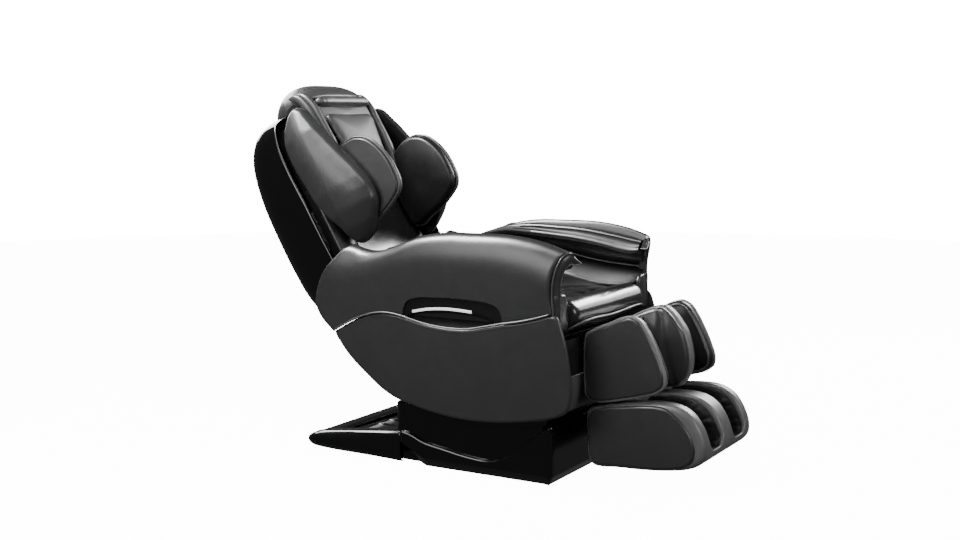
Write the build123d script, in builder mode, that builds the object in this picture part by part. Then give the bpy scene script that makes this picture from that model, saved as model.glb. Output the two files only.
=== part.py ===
from build123d import *

import os
from math import atan2, cos, degrees, hypot, radians, sin

os.makedirs("parts", exist_ok=True)

# Massage chair, millimetres. +Z is up, the sitter faces -Y, and the sitter's right arm is at -X.
# The origin is on the floor, on the underside of the middle floor pad.

# ---- driving dimensions ----
GAP = 0.5                       # face-to-face gap between neighbouring pieces

BASE_HALF = 300                 # half width of the base covers
BASE_FRONT = -372               # front of the base
BASE_REAR = 592                 # rear tip of the base
BASE_WALL = 11                  # side wall of the front base cover
PAD_H = 10                      # rubber floor pad height
PLATE_T = 4                     # steel base plate
COVER_SPLIT = 182               # where the front and rear base covers meet

TILT_Y, TILT_Z = 120, 260       # seat tilt axis
RECLINE_Y, RECLINE_Z = 225, 395  # backrest recline axis
LEG_Y, LEG_Z = -500, 480        # leg rest axis
TILT_MAX = 15                   # degrees
RECLINE_MAX = 40
LEG_MAX = 80
FIT = 0.05                      # radial clearance of every running fit

BACK_LEAN = 31                  # backrest angle from vertical at rest
FOOT_LEAN = 4                   # foot section slide angle from vertical

ARM_OUT = 355                   # outer face of the arm covers
ARM_WALL = 12
CHANNEL_IN = 243                # lip of the forearm channel
SEAT_HALF = 268
SIDE_PLATE_IN, SIDE_PLATE_OUT = 288, 294

SHELL_HALF = 268                # backrest shell half width
PAD_HALF = 185                  # back pad half width

CALF_HALF = 183                 # calf shell, inside its side covers
CALF_COVER = (200, 220)         # calf side cover, inner and outer face
CALF_CHANNEL = (48, 168)        # each calf channel, inner and outer wall
FOOT_HALF = 196
FOOT_COVER = (196.5, 216)
FOOT_WELL = (30, 140)           # each foot well, inner and outer wall

# ---- helpers ----
LEAN_S, LEAN_C = sin(radians(BACK_LEAN)), cos(radians(BACK_LEAN))


def side(x=0):
    """Plane across the chair at x: local x is Y, local y is Z, and it faces +X."""
    return Plane.YZ.offset(x)


def back_side(x=0):
    """The same for the backrest: local x runs up the back, local y towards the sitter."""
    return Plane(origin=(x, RECLINE_Y, RECLINE_Z), x_dir=(0, LEAN_S, LEAN_C), z_dir=(1, 0, 0))


def back_face(depth=0):
    """Plane facing the sitter, depth in front of the recline axis: local y runs up the back."""
    y = RECLINE_Y - LEAN_C * depth
    z = RECLINE_Z + LEAN_S * depth
    return Plane(origin=(0, y, z), x_dir=(1, 0, 0), z_dir=(0, -LEAN_C, LEAN_S))


def smooth(*points):
    """A smooth open curve through the points, for the BuildLine in progress."""
    return Spline(*points)


def closed(*points):
    """A smooth closed curve through the points."""
    return Spline(*points, periodic=True)


def save(piece, label):
    """Label a finished piece and write its file."""
    piece.part.label = label
    export_step(piece.part, f"parts/{label}.step")


def save_pair(right_piece, label):
    """Write a right-hand piece and its mirrored left-hand twin."""
    save(right_piece, f"{label}_right")
    with BuildPart() as left_piece:
        mirror(right_piece.part, about=Plane.YZ)
    save(left_piece, f"{label}_left")


# =====================================================================================
# Base
# =====================================================================================

# Steel base plate with two stiffening rails, and the lugs of the tilt actuator.
TILT_MOTOR = (60, 75)           # actuator's lower pivot, (y, z)
LUG_IN, LUG_OUT = 9.5, 15.5     # a clevis's two ears, from its middle
PIN_R = 5
WHEEL_X, WHEEL_Y, WHEEL_Z, WHEEL_R = 250, 520, 28, 24
AXLE_R = 4

with BuildPart() as base_frame:
    with BuildSketch(Plane.XY.offset(PAD_H)):
        with Locations((0, 112)):
            RectangleRounded(556, 886, 20)
        with Locations((WHEEL_X, WHEEL_Y), (-WHEEL_X, WHEEL_Y)):
            Rectangle(44, 66, mode=Mode.SUBTRACT)
    extrude(amount=PLATE_T)
    with BuildSketch(Plane.XY.offset(PAD_H + PLATE_T)):
        with Locations((-160, -60), (160, -60)):
            Rectangle(40, 520)
            Rectangle(34, 514, mode=Mode.SUBTRACT)
    extrude(amount=15)
    for ear in (-LUG_OUT, LUG_IN):
        with BuildSketch(side(ear)):
            with BuildLine():
                Polyline((TILT_MOTOR[0] - 16, TILT_MOTOR[1]), (TILT_MOTOR[0] - 30, PAD_H + 2))
                Line((TILT_MOTOR[0] - 30, PAD_H + 2), (TILT_MOTOR[0] + 30, PAD_H + 2))
                Line((TILT_MOTOR[0] + 30, PAD_H + 2), (TILT_MOTOR[0] + 16, TILT_MOTOR[1]))
                RadiusArc((TILT_MOTOR[0] + 16, TILT_MOTOR[1]), (TILT_MOTOR[0] - 16, TILT_MOTOR[1]), -16)
            make_face()
        extrude(amount=LUG_OUT - LUG_IN)
    with BuildSketch(side(-LUG_OUT)):
        with Locations(TILT_MOTOR):
            Circle(PIN_R)
    extrude(amount=2 * LUG_OUT)
    # wheel lugs, each a pair of tabs joined by the fixed axle
    for side_sign in (-1, 1):
        for tab in (-19, 15):
            with BuildSketch(side(side_sign * WHEEL_X + tab)):
                with Locations((WHEEL_Y, 24)):
                    Rectangle(70, 28)
            extrude(amount=4)
        with BuildSketch(side(side_sign * WHEEL_X - 19)):
            with Locations((WHEEL_Y, WHEEL_Z)):
                Circle(AXLE_R)
        extrude(amount=38)
save(base_frame, "base_frame")

# Three rubber strips carry the chair.
with BuildPart() as floor_pads:
    with BuildSketch():
        with Locations((0, -290), (0, 0), (0, 440)):
            RectangleRounded(480, 44, 8)
    extrude(amount=PAD_H)
    chamfer(floor_pads.edges().group_by(Axis.Z)[0], 2)
save(floor_pads, "floor_pads")

# Front base cover: a high front wall and two side walls that dip in the middle.
with BuildPart() as base_front_cover:
    with BuildSketch(side(-BASE_HALF)):
        with BuildLine():
            Polyline((-356, 2), (100, 2), (COVER_SPLIT, 46), (COVER_SPLIT, 110))
            smooth((COVER_SPLIT, 110), (97, 84), (-30, 62), (-147, 54), (-238, 90), (-344, 176))
            Polyline((-344, 176), (-366, 190), (BASE_FRONT, 178), (BASE_FRONT, 26), (-356, 2))
        make_face()
    extrude(amount=2 * BASE_HALF)
    with BuildSketch():
        with Locations((0, -72)):
            Rectangle(2 * (BASE_HALF - BASE_WALL), 546)
    extrude(amount=240, mode=Mode.SUBTRACT)
save(base_front_cover, "base_front_cover")

# Pedestal cover: a four-walled skirt around the tilt mechanism, open above and below.
PED_HALF = BASE_HALF - BASE_WALL - GAP
PED_TOP = 202
INLET = (-70, 150)              # rear power panel centre, (x, z)
INLET_W, INLET_H = 74, 44
with BuildPart() as pedestal_cover:
    with BuildSketch(Plane.XY.offset(PAD_H + PLATE_T + GAP)):
        with Locations((0, -67)):
            RectangleRounded(2 * PED_HALF, 554, 14)
            RectangleRounded(2 * PED_HALF - 10, 544, 10, mode=Mode.SUBTRACT)
    extrude(amount=PED_TOP - PAD_H - PLATE_T)
    with BuildSketch(Plane.XZ.offset(-230)):
        with Locations(INLET):
            Rectangle(INLET_W + 2 * GAP, INLET_H + 2 * GAP)
    extrude(amount=60, mode=Mode.SUBTRACT)
save(pedestal_cover, "pedestal_cover")
PED_REAR = 210

# Rear base cover: two side rails and a rear bar around a shallow recess.
with BuildPart() as base_rear_cover:
    with BuildSketch(side(-BASE_HALF)):
        with BuildLine():
            Polyline((110, 2), (COVER_SPLIT + GAP, 42), (COVER_SPLIT + GAP, 110))
            smooth((COVER_SPLIT + GAP, 110), (300, 92), (430, 72), (540, 60), (BASE_REAR, 34))
            Polyline((BASE_REAR, 34), (572, 6), (110, 2))
        make_face()
    extrude(amount=2 * BASE_HALF)
    with BuildSketch():
        with Locations((0, 300)):
            Rectangle(2 * (BASE_HALF - BASE_WALL - GAP), 524)
    extrude(amount=PAD_H + PLATE_T + 4, mode=Mode.SUBTRACT)
    with BuildSketch(Plane.XY.offset(PAD_H + PLATE_T + 7)):
        with Locations((0, 380)):
            RectangleRounded(400, 300, 30)
    extrude(amount=200, mode=Mode.SUBTRACT)
    with BuildSketch():
        with Locations((0, 100)):
            Rectangle(2 * (PED_HALF + GAP), 2 * (PED_REAR + GAP - 100))
    extrude(amount=240, mode=Mode.SUBTRACT)
    with BuildSketch():
        with Locations((0, 216)):
            Rectangle(364, 60)
    extrude(amount=40, mode=Mode.SUBTRACT)
    with BuildSketch():
        with Locations((WHEEL_X, WHEEL_Y), (-WHEEL_X, WHEEL_Y)):
            Rectangle(42, 76)
    extrude(amount=54, mode=Mode.SUBTRACT)
save(base_rear_cover, "base_rear_cover")

# Bolted tilt brackets: one plate each side, with the bore of the seat's tilt pin.
BRACKET_IN, BRACKET_OUT = 198, 208
TILT_PIN_R = 12
with BuildPart() as tilt_brackets:
    for bracket_x in (BRACKET_IN, -BRACKET_OUT):
        with BuildSketch(side(bracket_x)):
            with BuildLine():
                Polyline((TILT_Y - 26, TILT_Z), (30, PAD_H + PLATE_T), (200, PAD_H + PLATE_T))
                Line((200, PAD_H + PLATE_T), (TILT_Y + 26, TILT_Z))
                RadiusArc((TILT_Y + 26, TILT_Z), (TILT_Y - 26, TILT_Z), -26)
            make_face()
            with Locations((TILT_Y, TILT_Z)):
                Circle(TILT_PIN_R + FIT, mode=Mode.SUBTRACT)
        extrude(amount=BRACKET_OUT - BRACKET_IN)
save(tilt_brackets, "tilt_brackets")

# Power supply and controller in a folded steel box with a finned top.
with BuildPart() as control_box:
    with BuildSketch(Plane.XY.offset(PAD_H + PLATE_T + 19)):
        with Locations((-150, -210)):
            RectangleRounded(220, 170, 6)
    extrude(amount=56)
    with BuildSketch(Plane.XY.offset(PAD_H + PLATE_T + 75)):
        with Locations((-150, -210)):
            with GridLocations(16, 1, 12, 1):
                Rectangle(3, 150)
    extrude(amount=10)
save(control_box, "control_box")

# Air pump: a valve block with two round pump heads.
with BuildPart() as air_pump:
    with BuildSketch(Plane.XY.offset(PAD_H + PLATE_T + 19)):
        with Locations((150, -210)):
            RectangleRounded(200, 150, 12)
    extrude(amount=50)
    with BuildSketch(Plane.XY.offset(PAD_H + PLATE_T + 69)):
        with Locations((102, -210), (198, -210)):
            Circle(42)
    extrude(amount=26)
    chamfer(air_pump.faces().sort_by(Axis.Z)[-1].edges(), 4)
save(air_pump, "air_pump")

# Rear power panel: inlet socket beside the rocker switch.
SWITCH_X = INLET[0] + 20
SWITCH_W, SWITCH_H = 16, 26
ROCKER_R = 3
ROCKER_Y = PED_REAR + 1
with BuildPart() as power_inlet:
    with BuildSketch(Plane.XZ.offset(-(PED_REAR + 4))):
        with Locations(INLET):
            RectangleRounded(INLET_W + 14, INLET_H + 14, 6)
    extrude(amount=4 - GAP / 5)
    with BuildSketch(Plane.XZ.offset(-(PED_REAR + 0.5))):
        with Locations(INLET):
            Rectangle(INLET_W, INLET_H)
    extrude(amount=30)
    with BuildSketch(Plane.XZ.offset(-(PED_REAR + 5))):
        with Locations((INLET[0] - 16, INLET[1])):
            RectangleRounded(27, 20, 4)
        with Locations((SWITCH_X, INLET[1])):
            Rectangle(SWITCH_W, SWITCH_H)
    extrude(amount=20, mode=Mode.SUBTRACT)
    with BuildSketch(Plane.XZ.offset(-(PED_REAR - 15))):
        with Locations((INLET[0] - 22, INLET[1]), (INLET[0] - 16, INLET[1] + 4), (INLET[0] - 10, INLET[1])):
            Rectangle(2, 4)
    extrude(amount=-14)
    with BuildSketch(side(SWITCH_X - SWITCH_W / 2 - 2)):
        with Locations((ROCKER_Y, INLET[1])):
            Circle(ROCKER_R + FIT)
    extrude(amount=SWITCH_W + 4, mode=Mode.SUBTRACT)
save(power_inlet, "power_inlet")

ROCKER_TILT = 9                 # the off end stands proud at rest
with BuildPart() as power_switch:
    rocker_plane = Plane(
        origin=(SWITCH_X - SWITCH_W / 2 + GAP, ROCKER_Y, INLET[1]),
        x_dir=(0, cos(radians(ROCKER_TILT)), sin(radians(ROCKER_TILT))),
        z_dir=(1, 0, 0),
    )
    with BuildSketch(rocker_plane):
        with BuildLine():
            Polyline((-4, -11), (5, -11), (2.5, 0), (5, 11), (-4, 11), close=True)
        make_face()
    extrude(amount=SWITCH_W - 2 * GAP)
    with BuildSketch(side(SWITCH_X - SWITCH_W / 2 - 1.5)):
        with Locations((ROCKER_Y, INLET[1])):
            Circle(ROCKER_R)
    extrude(amount=SWITCH_W + 3)
save(power_switch, "power_switch")

# Transport wheels: clear of the floor until the chair is tipped back onto them.
with BuildPart() as transport_wheel:
    with BuildSketch(side(-WHEEL_X - 12)):
        with Locations((WHEEL_Y, WHEEL_Z)):
            Circle(WHEEL_R)
            Circle(AXLE_R + FIT, mode=Mode.SUBTRACT)
    extrude(amount=24)
    chamfer(transport_wheel.edges().filter_by(GeomType.CIRCLE).group_by(SortBy.RADIUS)[-1], 3)
save_pair(transport_wheel, "transport_wheel")


# =====================================================================================
# Linear actuators
# =====================================================================================

def actuator(label, pivot, tip, x, travel):
    """A gear motor with its tube, and the rod that slides in it, along the line pivot to tip.

    travel is how far the rod moves from rest: out if positive, in if negative. The rod's eye
    stands between the driven clevis's ears with a side gap, where the linkage is opened.
    """
    length = hypot(tip[0] - pivot[0], tip[1] - pivot[1])
    angle = atan2(tip[1] - pivot[1], tip[0] - pivot[0])
    plane = Plane(origin=(x, *pivot), x_dir=(0, cos(angle), sin(angle)), z_dir=(1, 0, 0))
    across = Plane(plane.origin, x_dir=(1, 0, 0), z_dir=plane.x_dir)
    tube_end = length - 26 + min(travel, 0)
    rod_start = 92 - min(travel, 0)
    with BuildPart() as motor:
        with BuildSketch(plane.offset(-8)):
            Circle(13)
            with Locations((22, 0)):
                Rectangle(44, 20)
            Circle(PIN_R + FIT, mode=Mode.SUBTRACT)
        extrude(amount=16)
        with BuildSketch(across.offset(38)):
            RectangleRounded(46, 46, 8)
        extrude(amount=40)
        with BuildSketch(across.offset(78)):
            Circle(17)
        extrude(amount=tube_end - 78)
        with BuildSketch(across.offset(80)):
            Circle(10 + FIT)
        extrude(amount=length, mode=Mode.SUBTRACT)
        with BuildSketch(Plane(plane.origin + plane.x_dir * 58 - plane.y_dir * 23, x_dir=(1, 0, 0),
                               z_dir=plane.y_dir)):
            Circle(19)
        extrude(amount=-52)
    save(motor, f"{label}_motor")
    with BuildPart() as rod:
        with BuildSketch(across.offset(rod_start)):
            Circle(10)
        extrude(amount=length - 14 - rod_start)
        with BuildSketch(plane.offset(-7)):
            with Locations((length, 0)):
                Circle(13)
            with Locations((length - 14, 0)):
                Rectangle(12, 20)
            with Locations((length, 0)):
                Circle(PIN_R, mode=Mode.SUBTRACT)
        extrude(amount=14)
    save(rod, f"{label}_rod")


def turned(centre, point, angle):
    """point (y, z) after the body turns backwards by angle degrees about centre."""
    y, z = point[0] - centre[0], point[1] - centre[1]
    c, s = cos(radians(angle)), sin(radians(angle))
    return centre[0] + c * y + s * z, centre[1] - s * y + c * z


def stroke(pivot, tip, centre, span):
    """How far a rod moves while the eye it drives, at tip, turns by span degrees about centre."""
    end = turned(centre, tip, span)
    return hypot(end[0] - pivot[0], end[1] - pivot[1]) - hypot(tip[0] - pivot[0], tip[1] - pivot[1])


TILT_LUG = (-230, 300)
RECLINE_MOTOR = (-100, 340)
RECLINE_LUG = (265, 326)
LEG_MOTOR = (-100, 300)
LEG_LUG = (-442, 411)
RECLINE_X, LEG_X = -90, 90
tilt_stroke = stroke(TILT_MOTOR, TILT_LUG, (TILT_Y, TILT_Z), TILT_MAX)
recline_stroke = stroke(RECLINE_MOTOR, RECLINE_LUG, (RECLINE_Y, RECLINE_Z), RECLINE_MAX)
leg_stroke = stroke(LEG_MOTOR, LEG_LUG, (LEG_Y, LEG_Z), LEG_MAX)
actuator("tilt_actuator", TILT_MOTOR, TILT_LUG, 0, tilt_stroke)
actuator("recline_actuator", RECLINE_MOTOR, RECLINE_LUG, RECLINE_X, recline_stroke)
actuator("leg_actuator", LEG_MOTOR, LEG_LUG, LEG_X, leg_stroke)


# =====================================================================================
# Seat section
# =====================================================================================

# Welded seat frame: two side plates, cross tubes, the seat pan, and every lug and pin.
RECLINE_PIN_R = 10
LEG_PIN_R = 7
EAR_IN, EAR_OUT = 191, 197      # leg rest ears
EAR_H = 15
FRONT_TUBE = (-372, 430)
MOTOR_TUBE = (-100, 440)
TILT_TUBE = (-230, 440)
REAR_TUBE = (120, 440)
TUBE = 30


def lug(x, tube_y, eye, radius):
    """Profile of one clevis ear at x, from a cross tube down to its eye."""
    with BuildSketch(side(x)) as ear_profile:
        with BuildLine():
            Polyline((eye[0] - radius, eye[1]), (tube_y - radius, 430), (tube_y + radius, 430))
            Line((tube_y + radius, 430), (eye[0] + radius, eye[1]))
            RadiusArc((eye[0] + radius, eye[1]), (eye[0] - radius, eye[1]), radius)
        make_face()
    return ear_profile.sketch


with BuildPart() as seat_frame:
    for plate_x in (SIDE_PLATE_IN, -SIDE_PLATE_OUT):
        with BuildSketch(side(plate_x)):
            with BuildLine():
                Polyline(
                    (-395, 345), (-395, 450), (-200, 458), (140, 458), (262, 420),
                    (262, 370), (235, 345), (-395, 345), close=False,
                )
            make_face()
        extrude(amount=SIDE_PLATE_OUT - SIDE_PLATE_IN)
    for centre in (FRONT_TUBE, MOTOR_TUBE, TILT_TUBE, REAR_TUBE):
        with BuildSketch(side(-336)):
            with Locations(centre):
                RectangleRounded(TUBE, TUBE, 4)
                RectangleRounded(TUBE - 6, TUBE - 6, 2, mode=Mode.SUBTRACT)
        extrude(amount=672)
    with BuildSketch(Plane.XY.offset(455)):
        with Locations((0, -120)):
            Rectangle(2 * SIDE_PLATE_IN + 2, 510)
    extrude(amount=3)
    # tilt lugs and their outward pins
    for lug_x in (186, -192):
        extrude(lug(lug_x, REAR_TUBE[0], (TILT_Y, TILT_Z), 22), amount=LUG_OUT - LUG_IN)
    for pin_x in (190, -212):
        with BuildSketch(side(pin_x)):
            with Locations((TILT_Y, TILT_Z)):
                Circle(TILT_PIN_R)
        extrude(amount=22)
    # recline pins, inward from the side plates
    for pin_x in (272, -290):
        with BuildSketch(side(pin_x)):
            with Locations((RECLINE_Y, RECLINE_Z)):
                Circle(RECLINE_PIN_R)
        extrude(amount=18)
    # leg rest ears, forward from the front tube
    ear_angle = degrees(atan2(LEG_Z - FRONT_TUBE[1], LEG_Y - FRONT_TUBE[0]))
    for ear_x in (EAR_IN, -EAR_OUT):
        with BuildSketch(side(ear_x)):
            with Locations(((LEG_Y + FRONT_TUBE[0]) / 2, (LEG_Z + FRONT_TUBE[1]) / 2)):
                SlotCenterToCenter(
                    hypot(LEG_Z - FRONT_TUBE[1], LEG_Y - FRONT_TUBE[0]), 2 * EAR_H, rotation=ear_angle
                )
            with Locations((LEG_Y, LEG_Z)):
                Circle(LEG_PIN_R + FIT, mode=Mode.SUBTRACT)
        extrude(amount=EAR_OUT - EAR_IN)
    # actuator lugs: two with pins for the motors, one pair without for the tilt rod
    for x, tube_y, eye, pinned in (
        (RECLINE_X, MOTOR_TUBE[0], RECLINE_MOTOR, True),
        (LEG_X, MOTOR_TUBE[0], LEG_MOTOR, True),
        (0, TILT_TUBE[0], TILT_LUG, False),
    ):
        for ear in (-LUG_OUT, LUG_IN):
            extrude(lug(x + ear, tube_y, eye, 14), amount=LUG_OUT - LUG_IN)
        if pinned:
            with BuildSketch(side(x - LUG_OUT)):
                with Locations(eye):
                    Circle(PIN_R)
            extrude(amount=2 * LUG_OUT)
save(seat_frame, "seat_frame")

# Seat cushion: foam on the pan, with a rolled front edge.
with BuildPart() as seat_cushion:
    with BuildSketch(side(-SEAT_HALF)):
        with BuildLine():
            Polyline((-384, 462), (140, 462), (140, 518))
            smooth((140, 518), (0, 540), (-140, 554), (-320, 572), (-400, 570), (-438, 540),
                   (-436, 508), (-384, 462))
        make_face()
    extrude(amount=2 * SEAT_HALF)
save(seat_cushion, "seat_cushion")

# Belly cover: the curved plate that closes the seat section's lower front.
with BuildPart() as belly_cover:
    with BuildSketch(side(-336)):
        with BuildLine():
            smooth((-426, 330), (-422, 275), (-404, 236), (-360, 213), (-300, 208))
            Line((-300, 208), (-300, 213))
            smooth((-300, 213), (-358, 218), (-400, 239), (-417, 276), (-421, 330))
            Line((-421, 330), (-426, 330))
        make_face()
    extrude(amount=672)
save(belly_cover, "belly_cover")

# Seat front cover: a flat plate behind the leg rest, slotted for its ears and its actuator.
with BuildPart() as seat_front_cover:
    with BuildSketch(Plane.XZ.offset(416)):
        with Locations((0, 396)):
            Rectangle(660, 122)
        with Locations((-(EAR_IN + EAR_OUT) / 2, 450), ((EAR_IN + EAR_OUT) / 2, 450)):
            Rectangle(20, 70, mode=Mode.SUBTRACT)
        with Locations((LEG_X, 385)):
            Rectangle(56, 90, mode=Mode.SUBTRACT)
    extrude(amount=4)
save(seat_front_cover, "seat_front_cover")

# Arm upper cover: a thin side wall and crown, cut to the arm's side outline.
SEAM = ((413, 424), (366, 452), (251, 498), (162, 502), (61, 482), (-52, 473), (-162, 487),
        (-289, 513), (-400, 545))
WINDOW_TOP = ((140, 490), (127, 532), (89, 559), (-52, 568), (-162, 565), (-216, 546), (-236, 490))


def seam_below(drop):
    """The seam's points, lowered by drop."""
    return [(y, z - drop) for y, z in SEAM]


with BuildPart() as arm_upper_cover:
    with BuildSketch(side(-ARM_OUT)):
        with BuildLine():
            smooth((413, 424), (478, 505), (466, 590), (405, 675), (340, 706), (250, 699), (148, 727),
                   (33, 763), (-106, 771), (-241, 769), (-358, 751), (-430, 726))
            smooth((-430, 726), (-404, 690), (-391, 620), (-400, 545))
            smooth(*SEAM[::-1])
        make_face()
    extrude(amount=60)
    with BuildSketch(Plane.XZ.offset(-520)):
        with BuildLine():
            Line((-ARM_OUT, 400), (-ARM_OUT, 700))
            smooth((-ARM_OUT, 700), (-349, 735), (-332, 760), (-300, 774))
            Line((-300, 774), (-300, 760))
            smooth((-300, 760), (-324, 746), (-338, 728), (-ARM_OUT + ARM_WALL, 700))
            Polyline((-ARM_OUT + ARM_WALL, 700), (-ARM_OUT + ARM_WALL, 400), (-ARM_OUT, 400))
        make_face()
    extrude(amount=1000, mode=Mode.INTERSECT)
    with BuildSketch(side(-ARM_OUT - 1)):
        with BuildLine():
            smooth(*WINDOW_TOP)
            Line(WINDOW_TOP[-1], (-236, 440))
            Line((-236, 440), (140, 440))
            Line((140, 440), WINDOW_TOP[0])
        make_face()
    extrude(amount=20, mode=Mode.SUBTRACT)
save_pair(arm_upper_cover, "arm_upper_cover")

# Arm lower panel: the curved side panel under the seam.
with BuildPart() as arm_lower_panel:
    with BuildSketch(side(-ARM_OUT + 3)):
        with BuildLine():
            smooth(*seam_below(2))
            smooth((-400, 543), (-436, 480), (-458, 371), (-459, 279), (-430, 238))
            smooth((-430, 238), (-320, 207), (-118, 186), (50, 200), (190, 238), (355, 360), (413, 422))
        make_face()
    extrude(amount=ARM_WALL)
save_pair(arm_lower_panel, "arm_lower_panel")

# Speaker panels: gloss insets in the two windows, each with a recess for its light strip.
with BuildPart() as speaker_panels:
    for panel_x in (-ARM_OUT + 2, ARM_OUT - 11):
        with BuildSketch(side(panel_x)):
            with BuildLine():
                smooth((136, 502), (123, 530), (87, 556), (-52, 565), (-160, 562), (-212, 544), (-230, 506))
                smooth((-230, 506), (-162, 491), (-52, 477), (61, 486), (136, 502))
            make_face()
        extrude(amount=9)
    for recess_x in (-ARM_OUT, ARM_OUT - 6):
        with BuildSketch(side(recess_x)):
            with BuildLine():
                smooth((98, 512), (0, 530), (-119, 526))
                Line((-119, 526), (-119, 536))
                smooth((-119, 536), (0, 540), (98, 522))
                Line((98, 522), (98, 512))
            make_face()
        extrude(amount=6, mode=Mode.SUBTRACT)
save(speaker_panels, "speaker_panels")

with BuildPart() as light_strips:
    for strip_x in (-ARM_OUT + 4, ARM_OUT - 6):
        with BuildSketch(side(strip_x)):
            with BuildLine():
                smooth((97, 512.8), (0, 530.6), (-118, 526.6))
                Line((-118, 526.6), (-118, 535.4))
                smooth((-118, 535.4), (0, 539.4), (97, 521.4))
                Line((97, 521.4), (97, 512.8))
            make_face()
        extrude(amount=2)
save(light_strips, "light_strips")

# Forearm channel: a top pad with a lip, a lower shelf pad, and the liner behind them.
with BuildPart() as arm_top_pad:
    with BuildSketch(Plane.XZ.offset(-170)):
        with BuildLine():
            Polyline((-299, 742), (-299, 692), (-255, 686))
            smooth((-255, 686), (-CHANNEL_IN, 697), (-250, 718), (-272, 738), (-299, 742))
        make_face()
    extrude(amount=590)
save_pair(arm_top_pad, "arm_top_pad")

with BuildPart() as arm_lower_pad:
    with BuildSketch(Plane.XZ.offset(-150)):
        with BuildLine():
            Polyline((-335, 540), (-335, 590), (-320, 600), (-290, 600))
            smooth((-290, 600), (-276, 590), (-274, 566), (-280, 540))
            Line((-280, 540), (-335, 540))
        make_face()
    extrude(amount=570)
save_pair(arm_lower_pad, "arm_lower_pad")

with BuildPart() as arm_liners:
    for liner_x in (-340, 336):
        with BuildSketch(side(liner_x)):
            with Locations((-120, 610)):
                RectangleRounded(540, 150, 20)
        extrude(amount=4)
save(arm_liners, "arm_liners")


# =====================================================================================
# Backrest
# =====================================================================================

# Backrest frame: two rails, cross bars, and the ears that turn on the recline pins.
RAIL_IN, RAIL_OUT = 170, 190
BACK_EAR_IN, BACK_EAR_OUT = 276, 284
with BuildPart() as backrest_frame:
    with BuildSketch(back_face(-120)):
        with Locations((-(RAIL_IN + RAIL_OUT) / 2, 450), ((RAIL_IN + RAIL_OUT) / 2, 450)):
            Rectangle(RAIL_OUT - RAIL_IN, 800)
        with Locations((0, 835)):
            Rectangle(2 * RAIL_OUT, 30)
        with Locations((0, 65)):
            Rectangle(2 * BACK_EAR_OUT, 30)
    extrude(amount=40)
    for ear_x in (BACK_EAR_IN, -BACK_EAR_OUT):
        with BuildSketch(back_side(ear_x)):
            with BuildLine():
                Polyline((-18, -18), (50, -120), (80, -120), (80, -70), (18, 18))
                RadiusArc((18, 18), (-18, -18), -25.5)
            make_face()
            Circle(RECLINE_PIN_R + FIT, mode=Mode.SUBTRACT)
        extrude(amount=BACK_EAR_OUT - BACK_EAR_IN)
    for ear in (-LUG_OUT, LUG_IN):
        with BuildSketch(side(RECLINE_X + ear)):
            with BuildLine():
                Polyline((RECLINE_LUG[0] - 14, RECLINE_LUG[1]), (322, 396), (354, 372))
                Line((354, 372), (RECLINE_LUG[0] + 14, RECLINE_LUG[1]))
                RadiusArc((RECLINE_LUG[0] + 14, RECLINE_LUG[1]), (RECLINE_LUG[0] - 14, RECLINE_LUG[1]), 14)
            make_face()
        extrude(amount=LUG_OUT - LUG_IN)
save(backrest_frame, "backrest_frame")

# Back shell: one deep moulding, open towards the sitter.
SHELL_WALL = 8
with BuildPart() as backrest_shell:
    with BuildSketch(back_side(-SHELL_HALF)):
        with BuildLine():
            smooth((150, -60), (165, -180), (225, -258), (376, -290), (620, -291), (800, -252), (868, -170))
            Polyline((868, -170), (878, -60), (150, -60))
        make_face()
    extrude(amount=2 * SHELL_HALF)
    with BuildSketch(back_side(-SHELL_HALF + SHELL_WALL)):
        with BuildLine():
            smooth((158, -60), (173, -176), (231, -250), (378, -282), (618, -283), (795, -245), (860, -168))
            Polyline((860, -168), (870, -60), (870, -40), (158, -40), (158, -60))
        make_face()
    extrude(amount=2 * (SHELL_HALF - SHELL_WALL), mode=Mode.SUBTRACT)
    with BuildSketch(back_face(-135)):
        with Locations((0, 150)):
            Rectangle(2 * RAIL_OUT + 12, 80)
    extrude(amount=70, mode=Mode.SUBTRACT)
save(backrest_shell, "backrest_shell")

with BuildPart() as backrest_pad:
    with BuildSketch(back_side(-PAD_HALF)):
        with BuildLine():
            Polyline((95, -18), (868, -18), (868, 20))
            smooth((868, 20), (700, 38), (400, 42), (180, 36), (110, 18), (95, -18))
        make_face()
    extrude(amount=2 * PAD_HALF)
save(backrest_pad, "backrest_pad")

# Shoulder wings: side cushions that reach forward around the sitter's shoulders.
WING_IN, WING_OUT = 206, 283
with BuildPart() as shoulder_wing:
    with BuildSketch(back_side(-WING_OUT)):
        with BuildLine():
            closed((359, 40), (380, 100), (430, 155), (505, 171), (610, 142), (742, 96), (860, 48),
                   (884, 5),
                   (830, -30), (740, -48), (600, -42), (470, -20), (390, -2))
        make_face()
    extrude(amount=WING_OUT - WING_IN)
save_pair(shoulder_wing, "shoulder_wing")

# Shoulder pods: airbag pads that stand forward inside each wing.
POD_IN, POD_OUT = 152, 200
with BuildPart() as shoulder_pod:
    with BuildSketch(back_side(-POD_OUT)):
        with BuildLine():
            closed((396, 80), (402, 150), (432, 222), (490, 244), (560, 236), (640, 202), (680, 140),
                   (660, 76),
                   (530, 48))
        make_face()
    extrude(amount=POD_OUT - POD_IN)
save_pair(shoulder_pod, "shoulder_pod")

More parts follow.
